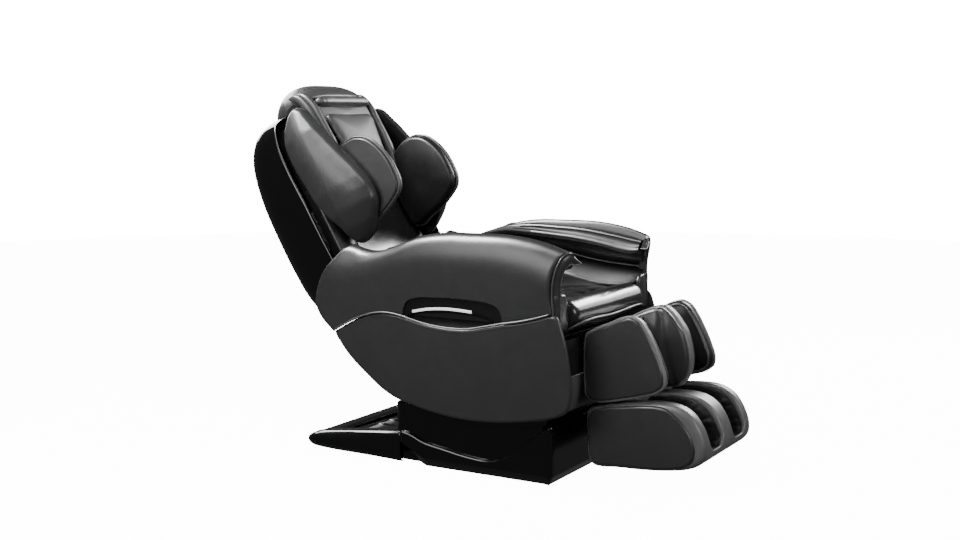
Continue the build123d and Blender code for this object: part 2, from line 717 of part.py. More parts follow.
# Hood over the backrest's top, and the loose head pillow that flips up from under its lip.
HOOD_HALF = 182
PILLOW_S, PILLOW_D = 872, 56    # pillow hinge: up the back, and towards the sitter
with BuildPart() as hood:
    with BuildSketch(back_side(-HOOD_HALF)):
        with BuildLine():
            smooth((880, -186), (930, -186), (970, -146), (984, -60), (966, 10), (916, 62), (888, 66))
            Polyline((888, 66), (888, -14), (881, -60), (872, -166), (880, -186))
        make_face()
    extrude(amount=2 * HOOD_HALF)
    with BuildSketch(back_side(-HOOD_HALF)):
        with Locations((PILLOW_S, PILLOW_D)):
            Circle(17)
    extrude(amount=2 * HOOD_HALF, mode=Mode.SUBTRACT)
save(hood, "hood")

with BuildPart() as head_pillow:
    with BuildSketch(back_side(-150)):
        with Locations((PILLOW_S, PILLOW_D)):
            Circle(12)
    extrude(amount=300)
    with BuildSketch(back_face(44.5)):
        with BuildLine():
            Polyline((-150, 868), (150, 868), (150, 812), (112, 660), (96, 642), (-96, 642))
            Polyline((-96, 642), (-112, 660), (-150, 812), (-150, 868))
        make_face()
    extrude(amount=34)
save(head_pillow, "head_pillow")

# Massage carriage between the rails, its two kneading arms and their four rollers.
CARRIAGE_S = 480                # carriage centre at rest, up the back
KNEAD_X, KNEAD_D = 70, -96
ROLLER_S, ROLLER_D, ROLLER_R = 76, -74, 30
with BuildPart() as massage_carriage:
    with BuildSketch(back_face(-160)):
        with Locations((0, CARRIAGE_S)):
            Rectangle(2 * RAIL_IN - 2 * GAP, 150)
    extrude(amount=34)
    with BuildSketch(back_face(-210)):
        with Locations((-60, CARRIAGE_S), (60, CARRIAGE_S)):
            Circle(32)
    extrude(amount=50)
    for tab in (-KNEAD_X - 17, -KNEAD_X + 11, KNEAD_X - 17, KNEAD_X + 11):
        with BuildSketch(back_side(tab)):
            with BuildLine():
                Polyline((CARRIAGE_S - 14, KNEAD_D), (CARRIAGE_S - 20, -130), (CARRIAGE_S + 20, -130))
                Line((CARRIAGE_S + 20, -130), (CARRIAGE_S + 14, KNEAD_D))
                RadiusArc((CARRIAGE_S + 14, KNEAD_D), (CARRIAGE_S - 14, KNEAD_D), -14)
            make_face()
        extrude(amount=6)
    for pin_x in (-KNEAD_X, KNEAD_X):
        with BuildSketch(back_side(pin_x - 17)):
            with Locations((CARRIAGE_S, KNEAD_D)):
                Circle(PIN_R)
        extrude(amount=34)
save(massage_carriage, "massage_carriage")

with BuildPart() as knead_arm:
    with BuildSketch(back_side(-KNEAD_X - 5)):
        with BuildLine():
            Polyline((CARRIAGE_S - ROLLER_S, ROLLER_D - 9), (CARRIAGE_S, KNEAD_D - 10))
            Line((CARRIAGE_S, KNEAD_D - 10), (CARRIAGE_S + ROLLER_S, ROLLER_D - 9))
            RadiusArc((CARRIAGE_S + ROLLER_S, ROLLER_D - 9), (CARRIAGE_S + ROLLER_S, ROLLER_D + 9), -9)
            Polyline((CARRIAGE_S + ROLLER_S, ROLLER_D + 9), (CARRIAGE_S, KNEAD_D + 12),
                     (CARRIAGE_S - ROLLER_S, ROLLER_D + 9))
            RadiusArc((CARRIAGE_S - ROLLER_S, ROLLER_D + 9), (CARRIAGE_S - ROLLER_S, ROLLER_D - 9), -9)
        make_face()
        with Locations((CARRIAGE_S, KNEAD_D)):
            Circle(PIN_R + FIT, mode=Mode.SUBTRACT)
    extrude(amount=10)
    for reach in (-ROLLER_S, ROLLER_S):
        with BuildSketch(back_side(-KNEAD_X - 5)):
            with Locations((CARRIAGE_S + reach, ROLLER_D)):
                Circle(6)
        extrude(amount=-36)
save_pair(knead_arm, "knead_arm")

for place, reach in (("upper", ROLLER_S), ("lower", -ROLLER_S)):
    with BuildPart() as roller:
        with BuildSketch(back_side(-KNEAD_X - 6)):
            with Locations((CARRIAGE_S + reach, ROLLER_D)):
                Circle(ROLLER_R)
                Circle(6 + FIT, mode=Mode.SUBTRACT)
        extrude(amount=-32)
        fillet(roller.edges().filter_by(GeomType.CIRCLE).group_by(SortBy.RADIUS)[-1], 12)
    save_pair(roller, f"roller_{place}")


# =====================================================================================
# Leg rest
# =====================================================================================

CALF_OUTLINE = ((-446, 466), (-480, 494), (-562, 531), (-600, 534), (-644, 494), (-694, 395), (-706, 350),
                (-683, 313), (-628, 290), (-540, 268), (-470, 262), (-446, 290), (-437, 375))
FOOT_OUTLINE = ((-438, 221), (-483, 250), (-628, 276), (-708, 285), (-769, 248), (-812, 185), (-820, 145),
                (-800, 104), (-740, 78), (-632, 64), (-500, 57), (-455, 72), (-440, 140))
SLIDE_TOP = (-480, 330)         # guide rods, upper end (y, z)
GUIDE_X, GUIDE_R = 100, 8
FOOT_S, FOOT_C = sin(radians(FOOT_LEAN)), cos(radians(FOOT_LEAN))


def guide_plane(down):
    """Plane across the guide rods, down mm below their upper end, facing down the slide."""
    return Plane(
        origin=(0, SLIDE_TOP[0] - FOOT_S * down, SLIDE_TOP[1] - FOOT_C * down),
        x_dir=(1, 0, 0),
        z_dir=(0, -FOOT_S, -FOOT_C),
    )


# Leg rest frame: side plates with pivot pins, cross tubes, the actuator's lugs and two guide rods.
with BuildPart() as legrest_frame:
    for plate_x in (184, -189):
        with BuildSketch(side(plate_x)):
            with BuildLine():
                Polyline((LEG_Y - 16, LEG_Z), (-500, 330), (-460, 330), (LEG_Y + 16, LEG_Z))
                RadiusArc((LEG_Y + 16, LEG_Z), (LEG_Y - 16, LEG_Z), -16)
            make_face()
        extrude(amount=5)
    for pin_x in (188, -199):
        with BuildSketch(side(pin_x)):
            with Locations((LEG_Y, LEG_Z)):
                Circle(LEG_PIN_R)
        extrude(amount=11)
    for tube_z in (340, 425):
        with BuildSketch(side(-186)):
            with Locations((-484, tube_z)):
                RectangleRounded(20, 20, 3)
        extrude(amount=372)
    for ear in (-LUG_OUT, LUG_IN):
        with BuildSketch(side(LEG_X + ear)):
            with BuildLine():
                Polyline((LEG_LUG[0], LEG_LUG[1] - 13), (-484, 415), (-484, 435),
                         (LEG_LUG[0], LEG_LUG[1] + 13))
                RadiusArc((LEG_LUG[0], LEG_LUG[1] + 13), (LEG_LUG[0], LEG_LUG[1] - 13), -13)
            make_face()
        extrude(amount=LUG_OUT - LUG_IN)
    with BuildSketch(guide_plane(-6)):
        with Locations((-GUIDE_X, 0), (GUIDE_X, 0)):
            Circle(GUIDE_R)
    extrude(amount=226)
save(legrest_frame, "legrest_frame")

# Calf shell: two open channels with a divider between them, hollow behind for the frame.
with BuildPart() as calf_shell:
    with BuildSketch(side(-CALF_HALF)):
        with BuildLine():
            closed(*CALF_OUTLINE)
        make_face()
    extrude(amount=2 * CALF_HALF)
    for low, high in ((CALF_CHANNEL[0], CALF_CHANNEL[1]), (-CALF_CHANNEL[1], -CALF_CHANNEL[0])):
        with BuildSketch(side(low)):
            with BuildLine():
                Polyline((-800, 600), (-800, 240), (-560, 240), (-540, 330), (-540, 480), (-572, 600),
                         close=True)
            make_face()
        extrude(amount=high - low, mode=Mode.SUBTRACT)
    with BuildSketch(side(-CALF_HALF)):
        with BuildLine():
            Polyline((-400, 500), (-505, 500), (-526, 470), (-526, 330), (-540, 252), (-400, 252),
                     close=True)
        make_face()
    extrude(amount=2 * CALF_HALF, mode=Mode.SUBTRACT)
save(calf_shell, "calf_shell")

with BuildPart() as calf_side_cover:
    with BuildSketch(side(-CALF_COVER[1])):
        with BuildLine():
            closed(*CALF_OUTLINE)
        make_face()
    extrude(amount=CALF_COVER[1] - CALF_COVER[0])
save_pair(calf_side_cover, "calf_side_cover")

CALF_PAD_T = 12
with BuildPart() as calf_pads:
    for pad_x in (
        CALF_CHANNEL[0] + GAP,
        CALF_CHANNEL[1] - CALF_PAD_T - GAP,
        -CALF_CHANNEL[0] - CALF_PAD_T - GAP,
        -CALF_CHANNEL[1] + GAP,
    ):
        with BuildSketch(side(pad_x)):
            with BuildLine():
                Polyline((-580, 505), (-620, 495), (-680, 370), (-670, 325), (-560, 310), (-550, 470),
                         close=True)
            make_face()
            fillet(vertices(), 10)
        extrude(amount=CALF_PAD_T)
save(calf_pads, "calf_pads")

# Foot shell: two foot wells, the bores of the guide rods, and troughs for the sole rollers.
SOLE_Z = 104
SOLE_ROLLERS = ((-640, 99), (-735, 108))
SOLE_SHAFT_R, SOLE_ROLLER_R = 6, 17
with BuildPart() as foot_shell:
    with BuildSketch(side(-FOOT_HALF)):
        with BuildLine():
            closed(*FOOT_OUTLINE)
        make_face()
    extrude(amount=2 * FOOT_HALF)
    for low, high in (FOOT_WELL, (-FOOT_WELL[1], -FOOT_WELL[0])):
        with BuildSketch(side(low)):
            with BuildLine():
                Polyline((-560, 400), (-552, SOLE_Z), (-700, SOLE_Z + 6), (-900, SOLE_Z + 22), (-900, 400),
                         close=True)
            make_face()
        extrude(amount=high - low, mode=Mode.SUBTRACT)
        for centre in SOLE_ROLLERS:
            with BuildSketch(side(low + 6)):
                with Locations(centre):
                    Circle(SOLE_ROLLER_R + 2)
            extrude(amount=high - low - 12, mode=Mode.SUBTRACT)
    for centre in SOLE_ROLLERS:
        with BuildSketch(side(-150)):
            with Locations(centre):
                Circle(SOLE_SHAFT_R + FIT)
        extrude(amount=300, mode=Mode.SUBTRACT)
    with BuildSketch(guide_plane(0)):
        with Locations((-GUIDE_X, 0), (GUIDE_X, 0)):
            Circle(GUIDE_R + FIT)
    extrude(amount=340, mode=Mode.SUBTRACT)
    # the side walls and the heel block are hollow, open to the rear
    for low in (147, -189):
        with BuildSketch(side(low)):
            with BuildLine():
                Polyline((-400, 90), (-400, 215), (-480, 225), (-640, 255), (-700, 258), (-770, 205),
                         (-795, 150), (-760, 96), (-640, 82), (-500, 76), close=True)
            make_face()
        extrude(amount=42, mode=Mode.SUBTRACT)
    with BuildSketch(side(-84)):
        with BuildLine():
            Polyline((-400, 76), (-400, 225), (-500, 232), (-544, 232), (-544, 76), close=True)
        make_face()
    extrude(amount=168, mode=Mode.SUBTRACT)
save(foot_shell, "foot_shell")

with BuildPart() as foot_side_panel:
    with BuildSketch(side(-FOOT_COVER[1])):
        with BuildLine():
            closed(*FOOT_OUTLINE)
        make_face()
    extrude(amount=FOOT_COVER[1] - FOOT_COVER[0])
save_pair(foot_side_panel, "foot_side_panel")

LINING_T = 7
with BuildPart() as foot_linings:
    for pad_x in (
        FOOT_WELL[0] + GAP,
        FOOT_WELL[1] - LINING_T - GAP,
        -FOOT_WELL[0] - LINING_T - GAP,
        -FOOT_WELL[1] + GAP,
    ):
        with BuildSketch(side(pad_x)):
            with BuildLine():
                Polyline((-575, 250), (-575, 132), (-760, 142), (-790, 165), (-770, 215), (-700, 262),
                         close=True)
            make_face()
        extrude(amount=LINING_T)
save(foot_linings, "foot_linings")

# Sole rollers: two shafts, each with a ribbed roller under each foot.
for place, centre in zip(("heel", "toe"), SOLE_ROLLERS):
    with BuildPart() as sole_roller:
        with BuildSketch(side(-149)):
            with Locations(centre):
                Circle(SOLE_SHAFT_R)
        extrude(amount=298)
        for start in (FOOT_WELL[0] + 10, -FOOT_WELL[1] + 10):
            with BuildSketch(side(start)):
                with Locations(centre):
                    Circle(SOLE_ROLLER_R)
            extrude(amount=FOOT_WELL[1] - FOOT_WELL[0] - 20)
    save(sole_roller, f"sole_roller_{place}")
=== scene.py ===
import math

import bmesh
import bpy
import numpy as np
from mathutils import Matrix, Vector


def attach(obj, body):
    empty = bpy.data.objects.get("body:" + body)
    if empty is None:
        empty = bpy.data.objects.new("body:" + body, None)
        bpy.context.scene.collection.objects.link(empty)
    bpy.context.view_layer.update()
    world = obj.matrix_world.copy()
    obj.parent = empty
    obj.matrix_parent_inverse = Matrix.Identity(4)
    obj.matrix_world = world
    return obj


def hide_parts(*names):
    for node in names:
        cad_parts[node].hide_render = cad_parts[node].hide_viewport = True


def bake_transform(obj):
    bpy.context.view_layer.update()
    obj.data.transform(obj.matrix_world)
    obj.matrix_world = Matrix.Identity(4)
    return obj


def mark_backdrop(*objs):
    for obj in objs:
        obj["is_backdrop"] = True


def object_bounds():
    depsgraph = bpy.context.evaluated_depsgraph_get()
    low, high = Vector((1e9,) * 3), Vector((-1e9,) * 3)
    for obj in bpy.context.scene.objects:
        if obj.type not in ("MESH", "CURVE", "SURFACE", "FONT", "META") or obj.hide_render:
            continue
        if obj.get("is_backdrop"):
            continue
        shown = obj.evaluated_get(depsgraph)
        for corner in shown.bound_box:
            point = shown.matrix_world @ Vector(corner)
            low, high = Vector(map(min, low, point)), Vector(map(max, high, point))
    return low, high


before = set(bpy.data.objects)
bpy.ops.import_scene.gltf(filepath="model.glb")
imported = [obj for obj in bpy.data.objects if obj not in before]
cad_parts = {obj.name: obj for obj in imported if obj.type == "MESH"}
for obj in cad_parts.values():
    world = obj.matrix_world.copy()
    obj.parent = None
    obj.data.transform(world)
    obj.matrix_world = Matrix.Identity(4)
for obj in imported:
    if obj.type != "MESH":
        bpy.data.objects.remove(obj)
cad_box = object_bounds()
scene = bpy.context.scene

# ---------------------------------------------------------------------------------------
# Room. A plain pale floor, soft boxes above and around the chair, and one camera at chest
# height to the sitter's right, a little in front.
# ---------------------------------------------------------------------------------------
CAMERA_AT = (-3.84, -2.1935, 1.14)
CAMERA_TURN, CAMERA_DROP = math.radians(-59.6), math.radians(6.8)


def soft_box(name, place, target, size, power, mirrored_only=False):
    """A rectangular lamp at place, turned to face target, which may show in reflections only."""
    lamp = bpy.data.lights.new(name, "AREA")
    lamp.shape = "RECTANGLE"
    lamp.size, lamp.size_y = size
    lamp.energy = power
    holder = bpy.data.objects.new(name, lamp)
    holder.location = place
    holder.rotation_euler = (Vector(target) - Vector(place)).to_track_quat("-Z", "Y").to_euler()
    holder.visible_diffuse = not mirrored_only
    scene.collection.objects.link(holder)


camera = bpy.data.objects.new("camera", bpy.data.cameras.new("camera"))
camera.location = CAMERA_AT
looking_back = Vector((
    math.sin(CAMERA_TURN) * math.cos(CAMERA_DROP),
    -math.cos(CAMERA_TURN) * math.cos(CAMERA_DROP),
    math.sin(CAMERA_DROP),
))
camera.rotation_euler = (-looking_back).to_track_quat("-Z", "Y").to_euler()
camera.data.lens = 50
camera.data.sensor_width = 36
camera.data.shift_x, camera.data.shift_y = .0010, .0014
scene.collection.objects.link(camera)
scene.camera = camera

floor_mesh = bpy.data.meshes.new("floor")
floor_mesh.from_pydata([(-9, -9, 0), (9, -9, 0), (9, 9, 0), (-9, 9, 0)], [], [(0, 1, 2, 3)])
floor = bpy.data.objects.new("floor", floor_mesh)
scene.collection.objects.link(floor)
floor_paint = bpy.data.materials.new("floor_paint")
floor_paint.use_nodes = True
floor_paint.node_tree.nodes["Principled BSDF"].inputs["Base Color"].default_value = (.85, .85, .85, 1)
floor_paint.node_tree.nodes["Principled BSDF"].inputs["Roughness"].default_value = 0.9
floor_paint.node_tree.nodes["Principled BSDF"].inputs["Emission Color"].default_value = (1, 1, 1, 1)
floor_paint.node_tree.nodes["Principled BSDF"].inputs["Emission Strength"].default_value = 14.0
floor_mesh.materials.append(floor_paint)

# a white backdrop all round, which lights nothing and is not mirrored
turn, rise = np.meshgrid(np.linspace(0, 2 * np.pi, 49), np.linspace(-.2, np.pi / 2, 13), indexing="ij")
backdrop_points = np.stack([8.5 * np.cos(rise) * np.cos(turn), 8.5 * np.cos(rise) * np.sin(turn),
                            8.5 * np.sin(rise)], -1)
backdrop_number = np.arange(49 * 13).reshape(49, 13)
backdrop_faces = np.stack([backdrop_number[:-1, :-1], backdrop_number[:-1, 1:],
                           backdrop_number[1:, 1:], backdrop_number[1:, :-1]], -1).reshape(-1, 4)
backdrop_mesh = bpy.data.meshes.new("backdrop")
backdrop_mesh.from_pydata(backdrop_points.reshape(-1, 3).tolist(), [], backdrop_faces.tolist())
backdrop = bpy.data.objects.new("backdrop", backdrop_mesh)
scene.collection.objects.link(backdrop)
backdrop_paint = bpy.data.materials.new("backdrop_paint")
backdrop_paint.use_nodes = True
backdrop_paint.node_tree.nodes["Principled BSDF"].inputs["Base Color"].default_value = (0, 0, 0, 1)
backdrop_paint.node_tree.nodes["Principled BSDF"].inputs["Emission Color"].default_value = (1, 1, 1, 1)
backdrop_paint.node_tree.nodes["Principled BSDF"].inputs["Emission Strength"].default_value = 16.0
backdrop_mesh.materials.append(backdrop_paint)
backdrop.visible_diffuse = backdrop.visible_glossy = backdrop.visible_transmission = False
backdrop.visible_shadow = False
floor.visible_diffuse = floor.visible_glossy = False
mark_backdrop(floor, backdrop)

studio = bpy.data.worlds.new("studio")
studio.use_nodes = True
studio.node_tree.nodes["Background"].inputs["Color"].default_value = (1, 1, 1, 1)
studio.node_tree.nodes["Background"].inputs["Strength"].default_value = 0.09
scene.world = studio
soft_box("overhead", (-1.5, -0.1, 3.0), (-0.25, 0, 0.7), (2.0, 0.8), 38)
soft_box("front", (-0.6, -3.8, 1.9), (0, -0.3, 0.5), (1.6, 1.2), 45)
soft_box("side", (-3.4, 0.9, 2.0), (0, 0, 0.6), (2.2, 1.4), 66)
soft_box("left", (3.3, -1.2, 1.8), (0, 0, 0.6), (2.2, 1.4), 42)
soft_box("strip", (-1.2, 1.5, 3.0), (-0.3, -0.1, 0.6), (0.9, 1.1), 430, True)
soft_box("window", (0.5, 2.4, 1.9), (0, -0.3, 0.5), (1.2, 1.0), 60, True)
soft_box("far side", (2.4, -0.9, 2.1), (0, -0.4, 0.55), (1.5, 1.0), 130, True)

# ---------------------------------------------------------------------------------------
# Mechanism. Pressed steel frames, cast gear motors, ground rods, rubber feet and wheels.
# The frames are welded and powder coated; the rest is bolted on.
# ---------------------------------------------------------------------------------------


def finish(name, colour, roughness, grain=0.0, scale=900.0, sheen=0.0, coat=0.0, metal=0.0,
           mottle=0.12, speckle=0.0, weave=0.0, glow=0.0):
    """A procedural finish on object coordinates.

    Colour follows a broad noise between colour less and plus the mottle share, and
    roughness follows a finer noise. grain is the height of pebbled leather, the distance to
    the nearest cell wall plus a noise; weave that of two crossed waves; speckle that of a
    fine noise, as on a cast or sprayed skin.
    """
    look = bpy.data.materials.new(name)
    look.use_nodes = True
    tree = look.node_tree
    shader = tree.nodes["Principled BSDF"]
    shader.inputs["Metallic"].default_value = metal
    shader.inputs["Coat Weight"].default_value = coat
    shader.inputs["Coat Roughness"].default_value = 0.12
    shader.inputs["Sheen Weight"].default_value = sheen
    shader.inputs["Sheen Roughness"].default_value = 0.5
    if glow:
        shader.inputs["Emission Color"].default_value = (1, 1, 1, 1)
        shader.inputs["Emission Strength"].default_value = glow
    place = tree.nodes.new("ShaderNodeTexCoord").outputs["Object"]

    def noise(size, detail):
        node = tree.nodes.new("ShaderNodeTexNoise")
        node.inputs["Scale"].default_value = size
        node.inputs["Detail"].default_value = detail
        tree.links.new(place, node.inputs["Vector"])
        return node.outputs["Fac"]

    def combine(kind, one, two, amount=None):
        node = tree.nodes.new("ShaderNodeMath")
        node.operation = kind
        tree.links.new(one, node.inputs[0])
        tree.links.new(two, node.inputs[1 if amount is None else 2])
        if amount is not None:
            node.inputs[1].default_value = amount
        return node.outputs["Value"]

    shade = tree.nodes.new("ShaderNodeValToRGB")
    dark, light = shade.color_ramp.elements
    dark.color = tuple(c * (1 - mottle) for c in colour) + (1,)
    light.color = tuple(min(1, c * (1 + mottle)) for c in colour) + (1,)
    dark.position, light.position = 0.35, 0.65
    tree.links.new(noise(9.0, 3.0), shade.inputs["Fac"])
    tree.links.new(shade.outputs["Color"], shader.inputs["Base Color"])
    rough = tree.nodes.new("ShaderNodeMapRange")
    rough.inputs["To Min"].default_value = max(0.02, roughness - 0.05)
    rough.inputs["To Max"].default_value = min(1, roughness + 0.05)
    tree.links.new(noise(38.0, 5.0), rough.inputs["Value"])
    tree.links.new(rough.outputs["Result"], shader.inputs["Roughness"])
    height, strength = None, 0
    if grain:
        cells = tree.nodes.new("ShaderNodeTexVoronoi")
        cells.feature = "DISTANCE_TO_EDGE"
        cells.inputs["Scale"].default_value = scale
        tree.links.new(place, cells.inputs["Vector"])
        height = combine("MULTIPLY_ADD", cells.outputs["Distance"], noise(scale * 0.6, 2.0), 0.6)
        strength = grain
    if weave:
        bands = []
        for direction in ("X", "Z"):
            wave = tree.nodes.new("ShaderNodeTexWave")
            wave.bands_direction = direction
            wave.inputs["Scale"].default_value = 260
            wave.inputs["Distortion"].default_value = 0.6
            tree.links.new(place, wave.inputs["Vector"])
            bands.append(wave.outputs["Fac"])
        height, strength = combine("MAXIMUM", *bands), weave
    if speckle:
        height, strength = noise(700.0, 2.0), speckle
    if height:
        bump = tree.nodes.new("ShaderNodeBump")
        bump.inputs["Strength"].default_value = strength
        bump.inputs["Distance"].default_value = 0.0004
        tree.links.new(height, bump.inputs["Height"])
        tree.links.new(bump.outputs["Normal"], shader.inputs["Normal"])
    return look


def dress(look, *nodes):
    """Gives frame parts their finish."""
    for node in nodes:
        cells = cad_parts[node].data.materials
        if cells:
            for n in range(len(cells)):
                cells[n] = look
        else:
            cells.append(look)


coated_steel = finish("coated_steel", (.022, .022, .024), .45, speckle=.3)
cast_metal = finish("cast_metal", (.34, .35, .36), .45, metal=1.0, speckle=.4)
ground_rod = finish("ground_rod", (.55, .56, .58), .20, metal=1.0, speckle=.05)
rubber = finish("rubber", (.016, .016, .016), .75, speckle=.35)
satin_plastic = finish("satin_plastic", (.012, .012, .013), .42, speckle=.25)
dress(coated_steel, "base_frame", "seat_frame", "backrest_frame", "legrest_frame",
      "tilt_brackets", "massage_carriage")
dress(cast_metal, "tilt_actuator_motor", "recline_actuator_motor", "leg_actuator_motor",
      "control_box", "air_pump")
dress(ground_rod, "tilt_actuator_rod", "recline_actuator_rod", "leg_actuator_rod")
dress(rubber, "floor_pads", "transport_wheel_right", "transport_wheel_left",
      "roller_upper_right", "roller_upper_left", "roller_lower_right", "roller_lower_left",
      "sole_roller_heel", "sole_roller_toe")
dress(satin_plastic, "power_inlet", "power_switch", "knead_arm_right", "knead_arm_left")

# ---------------------------------------------------------------------------------------
# Base covers. Injection-moulded gloss black plastic: a front cover with a bevelled foot, a
# rear cover whose rails run to a rounded tail, and the skirt that hides the tilt mechanism.
# They snap over the steel base and meet at a slanted split.
# ---------------------------------------------------------------------------------------


def unit(steps):
    """Each row scaled to length one."""
    return steps / np.linalg.norm(steps, axis=-1, keepdims=True)


def length_along(line):
    """Distance from a line's start at each of its points."""
    return np.concatenate([[0], np.cumsum(np.linalg.norm(np.diff(line, axis=0), axis=1))])


def read_off(at, run, line):
    """The line's points where its running measure reaches the values at."""
    return np.stack([np.interp(at, run, column) for column in line.T], -1)


def curve(points, count, closed=False):
    """A smooth curve through the points, sampled evenly by length.

    Each span is a cubic whose end slopes are the neighbouring spans' slopes, averaged with
    the shorter span weighing more.
    """
    p = np.asarray(points, float)
    if closed:
        p = np.vstack([p, p[:1]])
    gap = np.linalg.norm(np.diff(p, axis=0), axis=1)[:, None]
    slope = np.diff(p, axis=0) / gap
    inner = (slope[:-1] * gap[1:] + slope[1:] * gap[:-1]) / (gap[:-1] + gap[1:])
    if closed:
        ends = (slope[-1:] * gap[:1] + slope[:1] * gap[-1:]) / (gap[:1] + gap[-1:])
        m = np.vstack([ends, inner, ends])
    else:
        m = np.vstack([slope[:1], inner, slope[-1:]])
    t = np.linspace(0, 1, 24, endpoint=False)[:, None, None]
    spans = ((1 + 2 * t) * (1 - t) ** 2 * p[:-1] + t * (1 - t) ** 2 * gap * m[:-1]
             + t ** 2 * (3 - 2 * t) * p[1:] + t ** 2 * (t - 1) * gap * m[1:])
    line = np.vstack([spans.transpose(1, 0, 2).reshape(-1, p.shape[1]), p[-1:]])
    run = length_along(line)
    at = np.linspace(0, run[-1], count + 1)[:-1] if closed else np.linspace(0, run[-1], count)
    return read_off(at, run, line)


def mesh_piece(name, points, faces, looks, which=None, inside=None, sharp=40):
    """An object from points and faces, with doubles merged and normals turned outwards.

    looks are its finishes and which is the finish number of each face. An open sheet faces
    away from the point inside. Edges bent by more than sharp degrees stay crisp.
    """
    mesh = bpy.data.meshes.new(name)
    mesh.from_pydata(np.asarray(points).tolist(), [], np.asarray(faces).tolist())
    for look in looks:
        mesh.materials.append(look)
    if which is not None:
        mesh.polygons.foreach_set("material_index", np.asarray(which, np.int32).ravel())
    shape = bmesh.new()
    shape.from_mesh(mesh)
    bmesh.ops.remove_doubles(shape, verts=shape.verts, dist=2e-6)
    bmesh.ops.dissolve_degenerate(shape, dist=1e-7, edges=shape.edges)
    bmesh.ops.recalc_face_normals(shape, faces=shape.faces)
    shape.to_mesh(mesh)
    shape.free()
    if inside is not None:
        centre, normal = (np.zeros(3 * len(mesh.polygons)) for _ in range(2))
        mesh.polygons.foreach_get("center", centre)
        mesh.polygons.foreach_get("normal", normal)
        if ((centre.reshape(-1, 3) - inside) * normal.reshape(-1, 3)).sum() < 0:
            mesh.flip_normals()
    mesh.shade_smooth()
    mesh.set_sharp_from_angle(angle=math.radians(sharp))
    piece = bpy.data.objects.new(name, mesh)
    scene.collection.objects.link(piece)
    return piece


def skin(name, grid, looks, which=None, wrap=(False, False), caps=False, inside=None, sharp=40):
    """A surface over a grid of points, neighbours joined by four-sided faces.

    wrap closes the rows or the columns on themselves. caps closes the first and last row
    with a fan to their middle.
    """
    if caps:
        first, last = (np.broadcast_to(grid[e].mean(0), grid[e].shape)[None] for e in (0, -1))
        grid = np.concatenate([first, grid, last])
        if which is not None:
            which = np.concatenate([which[:1], which, which[-1:]])
    rows, cols = grid.shape[:2]
    number = np.arange(rows * cols).reshape(rows, cols)
    if wrap[0]:
        number = np.vstack([number, number[:1]])
    if wrap[1]:
        number = np.hstack([number, number[:, :1]])
    faces = np.stack([number[:-1, :-1], number[1:, :-1], number[1:, 1:], number[:-1, 1:]], -1)
    return mesh_piece(name, grid.reshape(-1, 3), faces.reshape(-1, 4), looks, which, inside, sharp)


def place(piece, body, slot, *nodes, fill=None):
    """Mounts a piece on its body, in the room of the frame's nodes. Its slot is not used.

    fill, the share of a stuffed piece's volume that is stuffing, is not used.
    """
    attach(piece, body)
    if nodes:
        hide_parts(*nodes)
    return piece


def thicken(piece, thickness, offset=-1.0):
    """Gives a sheet its wall, inwards unless offset says otherwise."""
    wall = piece.modifiers.new("wall", "SOLIDIFY")
    wall.thickness, wall.offset = thickness, offset
    wall.use_even_offset = True
    return piece


def bell(x, middle, width):
    """One at the middle, and e to minus the square of the distance in widths away from it."""
    return np.exp(-((x - middle) / width) ** 2)


def inward_normals(line, closed=True):
    """Unit normals of a flat line, on the side where its middle lies."""
    step = np.roll(line, -1, 0) - np.roll(line, 1, 0) if closed else np.gradient(line, axis=0)
    normal = unit(np.stack([-step[:, 1], step[:, 0]], 1))
    return -normal if ((line - line.mean(0)) * normal).sum() > 0 else normal


gloss_black = finish("gloss_black", (.0020, .0020, .0022), .15, coat=.3, mottle=.1, speckle=.02)

FRONT_CREST = curve([
    (.1815, .110), (.150, .1045), (.097, .084), (.017, .070), (-.070, .057), (-.147, .054),
    (-.193, .064), (-.238, .090), (-.282, .126), (-.319, .157), (-.344, .176), (-.362, .186)], 200)


def swept_wall(name, plan, section_of, inside):
    """A wall along a plan line. section_of gives (inset, height) rows for each plan point.

    Each point stands inset from the plan line along its inward normal, at its height.
    """
    inset, height = section_of(plan)
    grid = np.concatenate([plan[:, None] + inward_normals(plan, False)[:, None] * inset[..., None],
                           height[..., None]], 2)
    return skin(name, grid, [gloss_black], inside=inside, sharp=35)


front_plan = np.vstack([
    np.stack([np.full(70, -.300), np.linspace(.1815, -.352, 70)], 1),
    curve([(-.300, -.356), (-.2985, -.364), (-.2935, -.3700), (-.286, -.372)], 8),
    np.stack([np.linspace(-.280, .280, 40), np.full(40, -.372)], 1),
    curve([(.286, -.372), (.2935, -.3700), (.2985, -.364), (.300, -.356)], 8),
    np.stack([np.full(70, .300), np.linspace(-.352, .1815, 70)], 1)])


def front_section(plan):
    """Bevelled foot, flat wall, a crease line near the crest, and a rounded crest."""
    y = plan[:, 1]
    crest = np.interp(-y, -FRONT_CREST[:, 0], FRONT_CREST[:, 1])
    foot = np.interp(y, (.091, .172, .1815), (.002, .042, .050))
    bevel = np.minimum(foot + .026, crest - .010)
    rows = [(w, low * foot + mid * bevel + top * (crest - .004)) for w, low, mid, top in (
        (.030, 1, 0, 0), (.013, 1, 0, 0), (.0115, .96, .04, 0), (.001, .04, .96, 0), (0, 0, 1, 0),
        (0, 0, .7, .3), (0, 0, .4, .6), (.0002, 0, .1, .9), (.0008, 0, 0, 1.0))]
    rows += [(w, crest - drop) for w, drop in (
        (.0030, .001), (.0060, 0), (.0090, .0012), (.0105, .005), (.011, .016))]
    return np.stack([np.full(len(y), w) for w, _ in rows], 1), np.stack([z for _, z in rows], 1)


front_cover = swept_wall("base_front_cover_shell", front_plan, front_section, (0, -.1, .05))
thicken(front_cover, .003)
place(front_cover, "base", "gloss_black", "base_front_cover")

